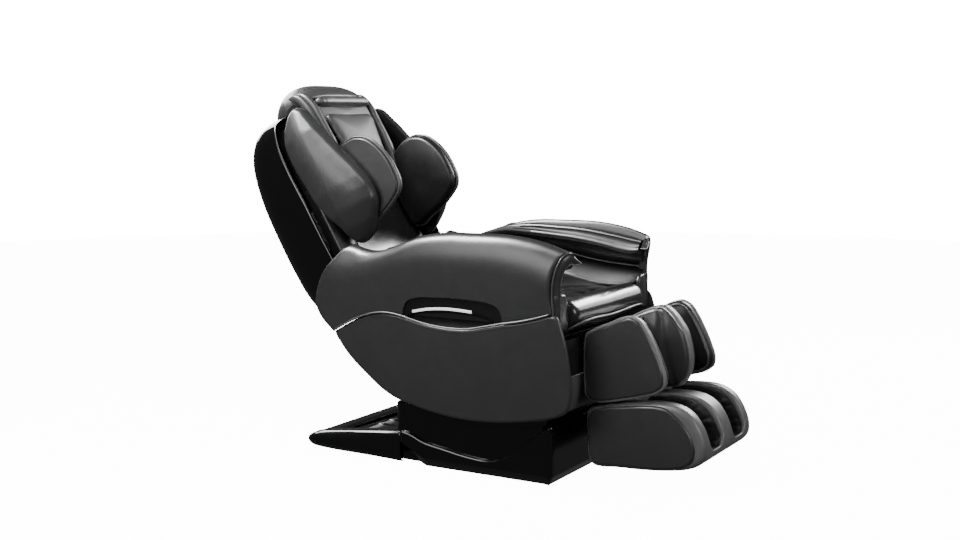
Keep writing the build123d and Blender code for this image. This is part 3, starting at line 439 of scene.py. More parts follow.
REAR_CREST = curve([(.1825, .110), (.300, .096), (.430, .079), (.520, .066), (.560, .058),
                    (.592, .046)], 80)
rear_plan = np.vstack([
    np.stack([np.full(44, .300), np.linspace(.1825, .520, 44)], 1),
    curve([(.300, .524), (.293, .556), (.270, .581), (.236, .592)], 18),
    np.stack([np.linspace(.228, -.228, 40), np.full(40, .592)], 1),
    curve([(-.236, .592), (-.270, .581), (-.293, .556), (-.300, .524)], 18),
    np.stack([np.full(44, -.300), np.linspace(.520, .1825, 44)], 1)])


def rear_section(plan):
    """A rail whose outer side swells to a rounded nose at the tail, with a soft crest.

    At the split the side is flat and bevelled as on the front cover. Towards the tail the
    foot rises and the side rounds over a half circle.
    """
    y = plan[:, 1]
    crest = np.interp(y, REAR_CREST[:, 0], REAR_CREST[:, 1])
    foot = np.interp(y, (.091, .1825, .45, .56, .592), (.002, .004, .004, .008, .012))
    tail = np.interp(y, (.19, .50, .592), (0, .8, 1))[:, None]
    angle = np.linspace(-90, 90, 19)
    flat = np.interp(angle, (-90, -50, -40, 40, 62, 90), (.026, .011, .0, .0, .004, .030))
    flat_z = np.interp(angle, (-90, -50, -40, 40, 62, 90), (0, .01, .24, .72, .92, 1))
    nose = .034 * (1 - np.cos(np.radians(angle)))
    nose_z = .5 + .5 * np.sin(np.radians(angle))
    inset = (1 - tail) * flat + tail * nose
    share = (1 - tail) * flat_z + tail * nose_z
    height = foot[:, None] + (crest - foot)[:, None] * share
    inner = inset[:, -1:] + np.array([[.010, .022, .032, .038, .040, .041, .046, .060]])
    drop = np.array([[.0004, .0012, .0045, .014, .030, .040, .0465, .0480]])
    inner_z = np.maximum(crest[:, None] - drop * (crest[:, None] - .021) / .048, .021)
    return np.hstack([inset, inner]), np.hstack([height, inner_z])


rear_cover = swept_wall("base_rear_cover_shell", rear_plan, rear_section, (0, .35, .04))
thicken(rear_cover, .0025)
place(rear_cover, "base", "gloss_black", "base_rear_cover")

# the recess floor between the rails, with pressed ridges that run to the tail
across, along = np.meshgrid(np.linspace(-.245, .245, 120), np.linspace(.206, .535, 90), indexing="ij")
ridge = sum(.004 * bell(np.abs(across), middle, .006) for middle in (.060, .130, .200))
ridge = ridge * np.clip((along - .215) / .02, 0, 1) * np.clip((.52 - along) / .03, 0, 1)
recess = skin("base_recess_floor", np.stack([across, along, .0215 + ridge], -1), [gloss_black],
              inside=(0, .35, -.5))
thicken(recess, .002)
place(recess, "base", "gloss_black")


def ring_plan(half_x, low_y, high_y, radius, count):
    """A rounded rectangle in plan, run anticlockwise, sampled evenly."""
    corner = []
    for cx, cy, start in ((half_x, low_y, -90), (half_x, high_y, 0), (-half_x, high_y, 90),
                          (-half_x, low_y, 180)):
        turn = np.radians(np.linspace(start, start + 90, 10))
        corner.append(np.stack([cx - math.copysign(radius, cx) + radius * np.cos(turn),
                                cy + (radius if cy == low_y else -radius) + radius * np.sin(turn)], 1))
    line = np.vstack(corner + [corner[0][:1]])
    run = length_along(line)
    return read_off(np.linspace(0, run[-1], count + 1)[:-1], run, line)


skirt_rows = []
for level, drawn_in in ((.0145, .003), (.017, 0), (.060, 0), (.110, 0), (.160, 0), (.196, 0),
                        (.2005, .001), (.2025, .004), (.2025, .008), (.199, .009), (.170, .0095)):
    ring = ring_plan(.2885 - drawn_in, -.344 + drawn_in, .210 - drawn_in, .022, 220)
    skirt_rows.append(np.hstack([ring, np.full((220, 1), level)]))
skirt = skin("pedestal_skirt", np.stack(skirt_rows), [gloss_black], wrap=(False, True),
             inside=(0, -.067, .11))
place(skirt, "base", "gloss_black", "pedestal_cover")

# ---------------------------------------------------------------------------------------
# Seat section's hard covers: the curved belly plate under its front and the slotted plate
# behind the leg rest. Vacuum-formed sheet, wrapped in grey leatherette at the belly.
# ---------------------------------------------------------------------------------------
grey_trim = finish("grey_trim", (.105, .105, .108), .36, grain=.10)
BELLY_LINE = curve([(-.4225, .345), (-.4215, .300), (-.4150, .262), (-.4010, .234), (-.3700, .2135),
                    (-.330, .2065), (-.296, .2065)], 60)
belly_side = np.array([(-.3355, .012), (-.3350, .004), (-.3330, 0), (-.326, -.0012)])
belly_x = np.concatenate([belly_side[:, 0], np.linspace(-.30, .30, 31), -belly_side[::-1, 0]])
belly_lift = np.concatenate([belly_side[:, 1], np.full(31, -.0015), belly_side[::-1, 1]])
belly_grid = np.empty((len(belly_x), len(BELLY_LINE), 3))
belly_grid[..., 0] = belly_x[:, None]
belly_grid[..., 1:] = BELLY_LINE + np.array([1, .6]) * belly_lift[:, None, None]
belly = skin("belly_plate", belly_grid, [grey_trim], inside=(0, -.2, .5))
thicken(belly, .004)
place(belly, "seat", "grey_trim", "belly_cover")
dress(satin_plastic, "seat_front_cover")

# ---------------------------------------------------------------------------------------
# Arms. Each is a foam-backed leatherette cover stretched over a moulded shell: an upper
# cover with a rolled crown, a lower side panel under a corded seam, a gloss window with its
# light bar, an inlaid rest strip, the rolled lip of the forearm channel and, inside it, two
# air cells edged with grey cord.
# ---------------------------------------------------------------------------------------
charcoal = finish("charcoal_leather", (.039, .039, .040), .31, grain=.14, sheen=.05, mottle=.05)
black_leather = finish("black_leather", (.0055, .0055, .006), .36, grain=.14, mottle=.2)
cord_grey = finish("grey_cord", (.085, .085, .088), .38, grain=.10)

SEAM = curve([(.413, .424), (.366, .452), (.312, .478), (.251, .498), (.207, .5045), (.162, .502),
              (.126, .496), (.061, .482), (.004, .475), (-.052, .473), (-.107, .476), (-.162, .487),
              (-.229, .502), (-.289, .513), (-.347, .528), (-.400, .545)], 160)
ARM_REAR = curve([(.413, .424), (.462, .470), (.482, .509), (.481, .545), (.468, .586), (.448, .625),
                  (.405, .675), (.380, .702), (.358, .713)], 60)
ARM_TOP = curve([(.358, .713), (.327, .706), (.289, .698), (.251, .698), (.207, .707), (.148, .727),
                 (.090, .751), (.033, .763), (-.016, .768), (-.106, .770), (-.174, .771), (-.241, .769),
                 (-.307, .761), (-.358, .751), (-.403, .737), (-.430, .727)], 160)
ARM_FRONT = curve([(-.400, .545), (-.3925, .584), (-.3915, .624), (-.401, .676), (-.414, .706),
                   (-.430, .727)], 60)
ARM_FACE, CREST_X = .355, .306
SIDES = ((-1, "right"), (1, "left"))


def arch(share):
    """Height of a half circle of radius one, at share from its middle."""
    return np.sqrt(np.clip(1 - share ** 2, 0, 1))


def squared(wave, power):
    """A wave raised to a power with its sign kept, which squares off an oval."""
    return np.sign(wave) * np.abs(wave) ** power


def across_chair(x, flat):
    """Points whose (y, z) are given, at x across the chair."""
    return np.concatenate([np.broadcast_to(x, flat.shape[:-1])[..., None], flat], -1)


def once(side, *nodes):
    """The frame's nodes that a pair stands for, named by the right-hand piece alone."""
    return nodes if side == -1 else ()


def between(bottom, top, rear, front):
    """Points inside a four-sided outline: the two blends of facing sides, added together,
    less the blend of the four corners."""
    u = np.linspace(0, 1, len(bottom))[:, None, None]
    v = np.linspace(0, 1, len(rear))[None, :, None]
    corners = ((1 - u) * (1 - v) * bottom[0] + u * (1 - v) * bottom[-1]
               + (1 - u) * v * top[0] + u * v * top[-1])
    return ((1 - v) * bottom[:, None] + v * top[:, None]
            + (1 - u) * rear[None] + u * front[None] - corners)


LIP = curve([(.200, .700), (.179, .708), (.104, .7265), (.008, .726), (-.102, .719), (-.209, .709),
             (-.289, .696), (-.341, .685), (-.387, .680), (-.433, .690)], 100)
GROOVE = curve([(.220, .700), (.173, .722), (.120, .739), (.030, .751), (-.081, .750), (-.190, .745),
                (-.296, .731), (-.356, .721), (-.430, .708)], 100)


def height_of(line, y):
    """Height at y of a (y, z) line that runs forwards."""
    return np.interp(-y, -line[:, 0], line[:, 1])


def side_wall():
    """Outer face of the arm: the outline's points, set inwards near the crown as a quarter
    ellipse, 49 mm across and 120 mm high, and rolled in by 12 mm at the rear and front."""
    face = between(SEAM, ARM_TOP, ARM_REAR, ARM_FRONT)
    rise = np.linspace(0, 1, face.shape[1])
    tall = (ARM_TOP[:, 1] - SEAM[:, 1])[:, None]
    up = np.clip(1 - (1 - rise)[None] * tall / .120, 0, 1)
    crown = (ARM_FACE - CREST_X) * (1 - np.sqrt(np.clip(1 - up ** 2.1, 0, 1)))
    run = length_along(ARM_TOP)
    ends = sum(reach * (1 - arch(1 - np.clip(away / reach, 0, 1)))
               for reach, away in ((.016, run[:, None]), (.012, (run[-1] - run)[:, None])))
    belly_out = .0015 * np.sin(np.pi * rise)[None]
    return across_chair(ARM_FACE + belly_out - crown - ends, face)


def bent_even(line, share):
    """The line's points at these shares of its index range."""
    return read_off(share * (len(line) - 1), np.arange(len(line)), line)


def arm_cover(side):
    """Upper cover: the outer face carried over the crest and down to the groove."""
    face = side_wall()
    squeeze = np.sin(np.linspace(0, np.pi / 2, face.shape[1]))
    face = np.stack([bent_even(row, squeeze) for row in face])
    y = face[:, -1, 1]
    top, low = face[:, -1, 2], np.minimum(height_of(GROOVE, y), face[:, -1, 2] - .004)
    low = np.where(y > .22, top - .020, low)
    over = [np.stack([face[:, -1, 0] - inward, y, top - (top - low) * share], 1) for inward, share in (
        (.003, .02), (.006, .10), (.009, .28), (.0115, .55), (.013, .82), (.0135, 1.0), (.0115, 1.12))]
    return np.concatenate([face, np.stack(over, 1)], 1) * (side, 1, 1)


def tube(name, path, radius, look, closed=False, sides=12, up=(1, 0, 0), taper=0.0):
    """A round cord along a path: a circle set square to the path at every point.

    The circle's first arm is up made square to the path. taper shrinks the two ends over
    that share of the length.
    """
    path = np.asarray(path, float)
    step = unit(np.roll(path, -1, 0) - np.roll(path, 1, 0) if closed else np.gradient(path, axis=0))
    arm = unit(np.asarray(up, float) - (step @ np.asarray(up, float))[:, None] * step)
    other = np.cross(step, arm)
    turn = np.linspace(0, 2 * np.pi, sides, endpoint=False)
    size = np.full(len(path), radius)
    if taper:
        share = np.linspace(0, 1, len(path))
        size = radius * np.sqrt(np.clip(np.minimum(share, 1 - share) / taper, .05, 1))
    ring = arm[:, None] * np.cos(turn)[None, :, None] + other[:, None] * np.sin(turn)[None, :, None]
    return skin(name, path[:, None] + ring * size[:, None, None], [look], wrap=(closed, True),
                caps=not closed)


def cord(name, path, radius, body="seat", closed=False, up=(1, 0, 0), taper=.01):
    """The piping of a seam, mounted on its body."""
    place(tube(name, path, radius, cord_grey, closed, up=up, taper=taper), body, "grey_trim")


def cut_window(piece, outline, low, high):
    """Cuts a straight-sided window through a piece. outline is in (y, z)."""
    cutter = skin("cutter", np.stack([across_chair(low, outline), across_chair(high, outline)]), [],
                  wrap=(False, True), caps=True)
    hole = piece.modifiers.new("window", "BOOLEAN")
    hole.operation, hole.solver, hole.object = "DIFFERENCE", "EXACT", cutter
    settle(piece)
    bpy.data.objects.remove(cutter)


def settle(piece):
    """Applies a piece's modifiers to its mesh."""
    bpy.context.view_layer.update()
    done = bpy.data.meshes.new_from_object(piece.evaluated_get(bpy.context.evaluated_depsgraph_get()))
    piece.modifiers.clear()
    piece.data = done
    done.name = piece.name
    return piece


WINDOW = curve([(.133, .501), (.131, .520), (.124, .538), (.109, .552), (.089, .559), (.018, .566),
                (-.052, .568), (-.121, .5675), (-.162, .565), (-.196, .559), (-.216, .546),
                (-.2265, .526), (-.230, .500)], 90)
WINDOW_CUT = np.vstack([WINDOW, [(-.230, .40), (.133, .40)]])
PANEL_EDGE = curve([(.400, .414), (.355, .360), (.280, .297), (.190, .238), (.095, .2105), (-.013, .192),
                    (-.118, .186), (-.220, .192), (-.320, .207), (-.385, .221), (-.430, .238),
                    (-.449, .252), (-.459, .279), (-.463, .314), (-.458, .371), (-.448, .428),
                    (-.431, .490), (-.412, .534), (-.402, .542)], 200)


def panel_rings(outline, edge, crown, rings=16, turns=8, back=.5):
    """A flat panel's closed body over an outline, as rings from its back to its middle.

    Returns the rings' points in the panel's plane and their heights: 0 at the back, edge at
    the rolled rim, edge plus crown in the middle. The rim is a quarter circle. Past it the
    rings shrink evenly towards the outline's middle, and the height follows one less the
    shrink factor squared.
    """
    normal, middle = inward_normals(outline), outline.mean(0)
    flat = [middle + (outline + normal * edge * back - middle) * s for s in (0.0, .5, 1.0)]
    flat.append(outline + normal * edge * back * .3)
    height = [0.0, 0.0, 0.0, edge * .08]
    for a in np.linspace(0, np.pi / 2, turns):
        flat.append(outline + normal * edge * (1 - np.cos(a)))
        height.append(edge * (.3 + .7 * np.sin(a)))
    rim = flat[-1]
    for s in np.cos(np.linspace(0, np.pi / 2, rings))[1:]:
        flat.append(middle + (rim - middle) * s)
        height.append(edge + crown * (1 - s ** 2))
    return np.stack(flat), np.stack([np.full(len(outline), h) for h in height])


def panel(name, outline, edge, crown, look, lay, **shape):
    """A stuffed panel: the rings over its outline, which lay(plane points, heights) sets in
    space. shape is passed on to panel_rings."""
    return skin(name, lay(*panel_rings(outline, edge, crown, **shape)), [look], wrap=(False, True))


def standing(side, base_x, stretch):
    """Lays a panel upright across the chair: heights run outwards from base_x, stretched."""
    return lambda flat, height: across_chair(base_x + height * stretch, flat) * (side, 1, 1)


for side, hand in SIDES:
    cover = skin(f"arm_cover_{hand}", arm_cover(side), [charcoal], inside=(side * .30, -.05, .60),
                 sharp=50)
    thicken(cover, .009)
    cut_window(cover, WINDOW_CUT, side * .33, side * .36)
    cover.data.shade_smooth()
    cover.data.set_sharp_from_angle(angle=math.radians(38))
    place(cover, "seat", "charcoal_leather", f"arm_upper_cover_{hand}")

    panel_outline = np.vstack([SEAM[2:-2][::2] - (0, .002), PANEL_EDGE[::-1][1:-1]])
    lower = panel(f"arm_side_panel_{hand}", panel_outline, .009, .0012, charcoal, standing(side, .340, 1.5))
    place(lower, "seat", "charcoal_leather", f"arm_lower_panel_{hand}")
    cord(f"seam_cord_{hand}", across_chair(side * .3555, SEAM[2:-2] + (0, .0003)), .0032)

# the window's gloss panel, its pocket and its light bar
window_black = finish("window_black", (.0035, .0035, .004), .28, coat=.05, speckle=.02)
pocket_black = finish("pocket_cloth", (.0015, .0015, .0016), .9, weave=.4)
light_bar = finish("light_diffuser", (.80, .81, .82), .35, mottle=.01, glow=.9)
POCKET_TOP = curve([(.124, .495), (.112, .503), (.091, .5085), (.034, .5165), (-.037, .5215),
                    (-.106, .519), (-.161, .511), (-.188, .503), (-.204, .492)], 80)
BAR_LINE = curve([(.098, .5155), (.050, .5255), (-.008, .5315), (-.060, .532), (-.119, .5290)], 60)

for side, hand in SIDES:
    upper = bent_even(WINDOW, np.linspace(0, 1, 80))
    share = np.linspace(0, 1, 18)[None, :, None]
    face = POCKET_TOP[:, None] * (1 - share) + upper[:, None] * share
    depth = .3495 - .0030 * np.clip(1 - share[..., 0] / .25, 0, 1) ** 2
    inward = np.concatenate([across_chair(.330, POCKET_TOP + (0, .002))[:, None],
                             across_chair(.341, POCKET_TOP + (0, .0003))[:, None],
                             across_chair(depth, face)], 1)
    pane = skin(f"window_panel_{hand}", inward * (side, 1, 1), [window_black],
                inside=(side * .2, 0, .50), sharp=50)
    thicken(pane, .0015)
    place(pane, "seat", "gloss_black", *once(side, "speaker_panels"))
    y, z = np.meshgrid(np.linspace(.132, -.226, 60), np.linspace(.470, .530, 14), indexing="ij")
    sink = .3345 - .006 * np.cos(np.pi * (y + .047) / .37) * np.sin(np.pi * (z - .47) / .06)
    pocket = skin(f"window_pocket_{hand}", np.stack([sink, y, z], -1) * (side, 1, 1), [pocket_black],
                  inside=(side * .2, 0, .50))
    thicken(pocket, .0015)
    place(pocket, "seat", "dark_fabric")
    turn = np.linspace(0, 2 * np.pi, 20, endpoint=False)
    section = np.stack([.3500 + .0022 * squared(np.cos(turn), .4), 0 * turn,
                        .0042 * squared(np.sin(turn), .4)], 1)
    bar = across_chair(0.0, BAR_LINE)[:, None] + section
    light = skin(f"light_bar_{hand}", bar * (side, 1, 1), [light_bar], wrap=(False, True), caps=True)
    place(light, "seat", "light_lens", *once(side, "light_strips"))

# rest strip, lip and channel of each arm
CELL_CORD = curve([(.168, .664), (.040, .663), (-.095, .655), (-.171, .640), (-.252, .628), (-.332, .622),
                   (-.400, .6175)], 120)
SHELF_CORD = curve([(.262, .168, .598), (.256, .060, .596), (.252, -.060, .592), (.250, -.146, .587),
                    (.250, -.189, .578), (.250, -.242, .568), (.252, -.295, .563), (.258, -.345, .565),
                    (.274, -.385, .574), (.300, -.404, .588), (.330, -.4075, .604)], 120)
air_leather = finish("air_cell_leather", (.0035, .0035, .004), .40, grain=.14, mottle=.2)
# the lip's finish: the charcoal arm leather darkened to a third, painted shade for the dark inner side of
# the arms
lip_leather_painted_shade = finish("lip_leather_painted_shade", (.013, .013, .014), .33, grain=.12, mottle=.05)


def along_arm(y, columns):
    """A grid of points: each column is (x, z) at every y."""
    return np.stack([np.stack([x + 0 * y, y, z + 0 * y], 1) for x, z in columns], 1)


for side, hand in SIDES:
    # the rolled lip: from the groove, over and under, and back to the channel wall
    y = -curve([(-.205, 0), (.02, 0), (.25, 0), (.405, 0)], 130)[:, 0]
    groove, lip = height_of(GROOVE, y), height_of(LIP, y)
    rear = np.clip((.205 - y) / .05, 0, 1) ** .5
    lip = lip * rear + (groove - .004) * (1 - rear)
    mid = .5 * (groove + lip)
    lip_columns = [(.3000, groove - .010), (.2960, groove - .0035), (.2935, groove - .0030),
                   (.2920, groove - .0010), (.2885, groove + .0018), (.2840, groove + .0020),
                   (.2795, groove - .0002), (.2770, groove - .0040), (.2755, groove - .0075),
                   (.2740, groove - .0060), (.2710, groove - .0045), (.2660, groove - .0068),
                   (.2600, mid + .0060), (.2545, mid + .0005), (.2495, mid * .55 + lip * .45),
                   (.2455, lip + .0065), (.2437, lip + .0010), (.2440, lip - .0045),
                   (.2470, lip - .0090), (.2530, lip - .0120), (.2640, lip - .0130),
                   (.2850, lip - .0125), (.3060, lip - .0125), (.3120, lip - .0060),
                   (.3100, groove - .014)]
    lip_grid = along_arm(y, lip_columns)
    tip = np.clip((-.386 - y) / .05, 0, 1)[:, None]
    lip_grid[..., 1] -= .017 * tip * np.clip((.300 - lip_grid[..., 0]) / .055, 0, 1)
    lip_body = skin(f"arm_lip_{hand}", lip_grid * (side, 1, 1), [lip_leather_painted_shade], wrap=(False, True),
                    caps=True, sharp=60)
    place(lip_body, "seat", "charcoal_leather", f"arm_top_pad_{hand}")

    # upper air cell: the channel's outer wall, bulging between the lip and its cord
    y = np.linspace(.175, -.404, 120)
    top = height_of(LIP, y) - .011
    low = height_of(CELL_CORD, y)
    share = np.linspace(0, 1, 20)
    cell_x = .303 + (.335 - .303) * np.sqrt(share) - .014 * np.sin(np.pi * share) ** .8
    cell = np.stack(np.broadcast_arrays(cell_x, y[:, None], top[:, None] + (low - top)[:, None] * share), -1)
    cell_wall = skin(f"air_cell_upper_{hand}", cell * (side, 1, 1), [air_leather],
                     inside=(side * .5, -.1, .65))
    thicken(cell_wall, .006)
    place(cell_wall, "seat", "black_leather", *once(side, "arm_liners"))

    # lower air cell and its shelf, which sweeps up to meet the upper one at the front
    shelf = read_off(-y, -SHELF_CORD[:, 1], SHELF_CORD)
    back_line = np.stack([np.full(len(y), .337), y, low + .002], 1)
    share = np.linspace(0, 1, 16)[None, :, None]
    top_face = back_line[:, None] * (1 - share) + shelf[:, None] * share
    top_face[..., 2] += (.010 * np.sin(np.pi * np.linspace(0, 1, 16)))[None]
    foot = np.where(y > .10, .548, .5015)
    drops = [np.stack([shelf[:, 0] + inward, y, shelf[:, 2] + (foot - shelf[:, 2]) * part], 1)
             for inward, part in ((.0015, .04), (.0035, .14), (.0030, .45), (.0010, .8), (.0020, 1.0))]
    under = [np.stack([np.full(len(y), x), y, foot], 1) for x in (.300, .338)]
    shelf_grid = np.concatenate([top_face, np.stack(drops + under, 1)], 1)
    shelf_body = skin(f"air_cell_lower_{hand}", shelf_grid * (side, 1, 1), [air_leather],
                      wrap=(False, True), caps=True, sharp=70)
    place(shelf_body, "seat", "black_leather", f"arm_lower_pad_{hand}")
    cord(f"cell_cord_{hand}", across_chair(side * .3335, CELL_CORD), .0042)
    cord(f"shelf_cord_{hand}", SHELF_CORD * (side, 1, 1), .0042)

    # front trim: a rolled band round the arm's open front, from the lip's tip to the seam
    outer = curve([(.3440, -.3960, .500), (.3455, -.3985, .545), (.3455, -.3945, .590),
                   (.3440, -.3965, .640), (.3375, -.4060, .684), (.3220, -.4170, .712),
                   (.3020, -.4260, .7215), (.2820, -.4300, .7150), (.2600, -.4330, .7000),
                   (.2450, -.4350, .6900)], 90)
    inner = curve([(.3130, -.4050, .500), (.3140, -.4080, .545), (.3150, -.4060, .590),
                   (.3150, -.4060, .630), (.3110, -.4130, .662), (.3010, -.4200, .6800),
                   (.2880, -.4240, .6860), (.2720, -.4280, .6860), (.2580, -.4310, .6860),
                   (.2450, -.4330, .6860)], 90)
    share = np.array([0, .04, .14, .30, .5, .70, .86, .96, 1.0])
    front = outer[:, None] * (1 - share)[None, :, None] + inner[:, None] * share[None, :, None]
    front[..., 1] -= .010 * arch(2 * share - 1)
    behind = front[:, ::-1].copy()
    behind[..., 1] = outer[:, None, 1] + .014
    trim_grid = np.concatenate([front, behind[:, 1:-1]], 1)
    trim = skin(f"arm_front_trim_{hand}", trim_grid * (side, 1, 1), [charcoal], wrap=(False, True),
                caps=True, sharp=70)
    place(trim, "seat", "charcoal_leather")
    cord(f"front_cord_{hand}", (outer[4:-4] + (.0035, -.0015, .0015)) * (side, 1, 1), .0022, taper=.03)

    # the cheek that closes the lower cell's front, beside the seat cushion
    cheek_outline = curve([(.338, .600), (.300, .5985), (.279, .594), (.270, .582), (.266, .545),
                           (.262, .500), (.268, .4880), (.300, .486), (.338, .486), (.3405, .540)], 90,
                          closed=True)
    cheek = panel(f"arm_cheek_{hand}", cheek_outline, .007, .002, charcoal, lambda flat, height: np.stack(
        [side * flat[..., 0], -.396 - height * 1.9, flat[..., 1]], -1), rings=10)
    place(cheek, "seat", "charcoal_leather")

# ---------------------------------------------------------------------------------------
# Seat cushion. A foam block in black leatherette on the seat pan: a flat top that dips
# towards a thick rolled front edge, closed underneath by a grey cord.
# ---------------------------------------------------------------------------------------
seat_leather = finish("seat_leather", (.022, .022, .023), .24, grain=.08, coat=.25)


def points_of(piece):
    """A piece's points as an array."""
    points = np.empty(3 * len(piece.data.vertices))
    piece.data.vertices.foreach_get("co", points)
    return points.reshape(-1, 3)


def move_points(piece, points):
    """Puts a piece's points where the array says."""
    piece.data.vertices.foreach_set("co", np.asarray(points).ravel())
    piece.data.update()


def swell(piece, voxel, pressure, cap, frames=20, hold=None):
    """Puffs a closed piece with a cloth simulation and caps how far a point may move.

    The shape is remeshed to even cells, blown up a little as a stuffed cover is, and each
    point's move is scaled back to the cap. Points that hold says are fixed stay.
    """
    remesh = piece.modifiers.new("even", "REMESH")
    remesh.mode, remesh.voxel_size = "VOXEL", voxel
    settle(piece)
    before = points_of(piece)
    pinned = piece.vertex_groups.new(name="pinned")
    fixed = np.nonzero(hold(before))[0] if hold else []
    pinned.add([int(n) for n in fixed], 1.0, "REPLACE")
    cloth = piece.modifiers.new("cover", "CLOTH")
    cloth.settings.quality = 5
    cloth.settings.tension_stiffness = cloth.settings.compression_stiffness = 15
    cloth.settings.bending_stiffness = .8
    cloth.settings.use_pressure = True
    cloth.settings.uniform_pressure_force = pressure
    cloth.settings.vertex_group_mass = "pinned"
    cloth.settings.effector_weights.gravity = 0
    cloth.collision_settings.use_self_collision = False
    cloth.point_cache.frame_start, cloth.point_cache.frame_end = 1, frames
    for number in range(1, frames + 1):
        scene.frame_set(number)
    settle(piece)
    move = points_of(piece) - before
    far = np.linalg.norm(move, axis=1)[:, None]
    move_points(piece, before + move * np.minimum(1, cap / np.maximum(far, 1e-9)))
    piece.vertex_groups.clear()
    scene.frame_set(1)
    relax = piece.modifiers.new("relax", "SMOOTH")
    relax.factor, relax.iterations = .6, 22
    settle(piece)
    piece.data.shade_smooth()
    return piece


SEAT_SIDE = curve([(.136, .4645), (-.120, .4645), (-.372, .4650), (-.400, .478), (-.426, .4965),
                   (-.437, .512), (-.4375, .532), (-.430, .552), (-.413, .5665), (-.392, .570),
                   (-.368, .5655), (-.335, .5575), (-.280, .5540), (-.140, .546), (.000, .532),
                   (.100, .519), (.134, .505), (.139, .485)], 120, closed=True)
across = np.concatenate([-.264 + .030 * (1 - np.cos(np.linspace(0, np.pi / 2, 8)))[:-1],
                         np.linspace(-.234, .234, 30)[0:-1],
                         .264 - .030 * (1 - np.cos(np.linspace(np.pi / 2, 0, 8)))])
pull = .020 * (1 - arch(np.clip(np.abs(across) - .234, 0, .030) / .030))
seat_rows = SEAT_SIDE[None] - unit(SEAT_SIDE - SEAT_SIDE.mean(0))[None] * pull[:, None, None]
cushion = skin("seat_cushion_cover", across_chair(across[:, None], seat_rows), [seat_leather],
               wrap=(False, True), caps=True)
swell(cushion, .0065, 3.0, .006, hold=lambda p: p[:, 2] < .468)
p = points_of(cushion)
top = np.clip((p[:, 2] - .51) / .03, 0, 1) * np.clip((p[:, 1] + .372) / .05, 0, 1)
folds = sum(deep * bell(p[:, 0], middle + slant * (p[:, 1] + .3), width) for deep, middle, slant, width in (
    (.0030, .10, .3, .022), (.0026, -.14, -.45, .020), (.0022, .02, -.2, .018)))
p[:, 2] -= top * folds * np.clip((p[:, 1] + .42) / .1, 0, 1) * np.clip((.0 - p[:, 1]) / .15, 0, 1)
p[:, 2] -= .004 * top * bell(p[:, 1], -.325, .020)
move_points(cushion, p)
place(cushion, "seat", "black_leather", "seat_cushion", fill=.75)
cord_line = curve([(-.262, -.360, .470), (-.264, -.395, .4790), (-.258, -.424, .497), (-.235, -.4335, .5035),
                   (0, -.4365, .5035), (.235, -.4335, .5035), (.258, -.424, .497), (.264, -.395, .4790),
                   (.262, -.360, .470)], 160)
cord("seat_cord", cord_line, .0034, up=(0, 0, 1))

# ---------------------------------------------------------------------------------------
# Backrest. One deep black moulding behind, a sewn back pad with upright channels in front,
# wings around the shoulders, air pads inside the wings, a padded hood and a head pillow.
# Everything is worked out along the back (s), across it and towards the sitter (d).
# ---------------------------------------------------------------------------------------
HINGE_Y, HINGE_Z = .225, .395
LEAN = math.radians(31)


def on_back(across, up, out):
    """Points of the leaning back: across it, up along it and out towards the sitter."""
    across, up, out = np.broadcast_arrays(across, up, out)
    return np.stack([across, HINGE_Y + math.sin(LEAN) * up - math.cos(LEAN) * out,
                     HINGE_Z + math.cos(LEAN) * up + math.sin(LEAN) * out], -1)


def leaning(base, stretch, side=0):
    """Lays a panel against the back: facing the sitter, or facing one side of the chair.

    Heights count from base, stretched. Without a side the panel's own plane is (across, up),
    with one it is (up, out).
    """
    if side:
        return lambda flat, height: on_back(side * (base + height * stretch), flat[..., 0], flat[..., 1])
    return lambda flat, height: on_back(flat[..., 0], flat[..., 1], base + height * stretch)


def scaled(line, size, middle=None):
    """A line scaled about a point of its plane, its own middle unless another is given."""
    middle = line.mean(0) if middle is None else middle
    return middle + (line - middle) * size


def squared_arc(power, count):
    """Half of a squared circle, from side to side over the back, sampled evenly."""
    turn = np.linspace(0, np.pi, 400)
    arc = np.stack([squared(np.cos(turn), 2 / power), np.sin(turn) ** (2 / power)], 1)
    return curve(arc[::4], count)


shell_back = curve([(.158, -.066), (.160, -.120), (.170, -.185), (.196, -.236), (.245, -.268),
                    (.305, -.284), (.376, -.290), (.534, -.293), (.620, -.291), (.720, -.277),
                    (.809, -.250), (.843, -.228), (.875, -.190), (.889, -.147), (.893, -.100),
                    (.886, -.056)], 130)
rise = length_along(shell_back)
rise = rise / rise[-1]
shell_front = np.stack([
    np.interp(rise, (0, .12, .88, 1), (.158, .190, .850, .886)),
    np.interp(rise, (0, .10, .25, .55, .70, .85, 1), (-.050, .012, .026, .022, .004, -.020, -.046))], 1)
shell_half = curve([(0, .248), (.08, .264), (.2, .2675), (.6, .2675), (.74, .262), (.86, .240),
                    (.94, .205), (1, .170)], 100)
shell_half = np.interp(rise, shell_half[:, 0], shell_half[:, 1])
arc = squared_arc(6.5, 120)
shell_flat = shell_front[:, None] + (shell_back - shell_front)[:, None] * arc[None, :, 1:]
shell_x = shell_half[:, None] * arc[None, :, 0]
shell = skin("back_shell", on_back(shell_x, shell_flat[..., 0], shell_flat[..., 1]), [gloss_black],
             inside=tuple(on_back(0.0, .5, -.10)), sharp=60)
thicken(shell, .005)
place(shell, "backrest", "gloss_black", "backrest_shell")

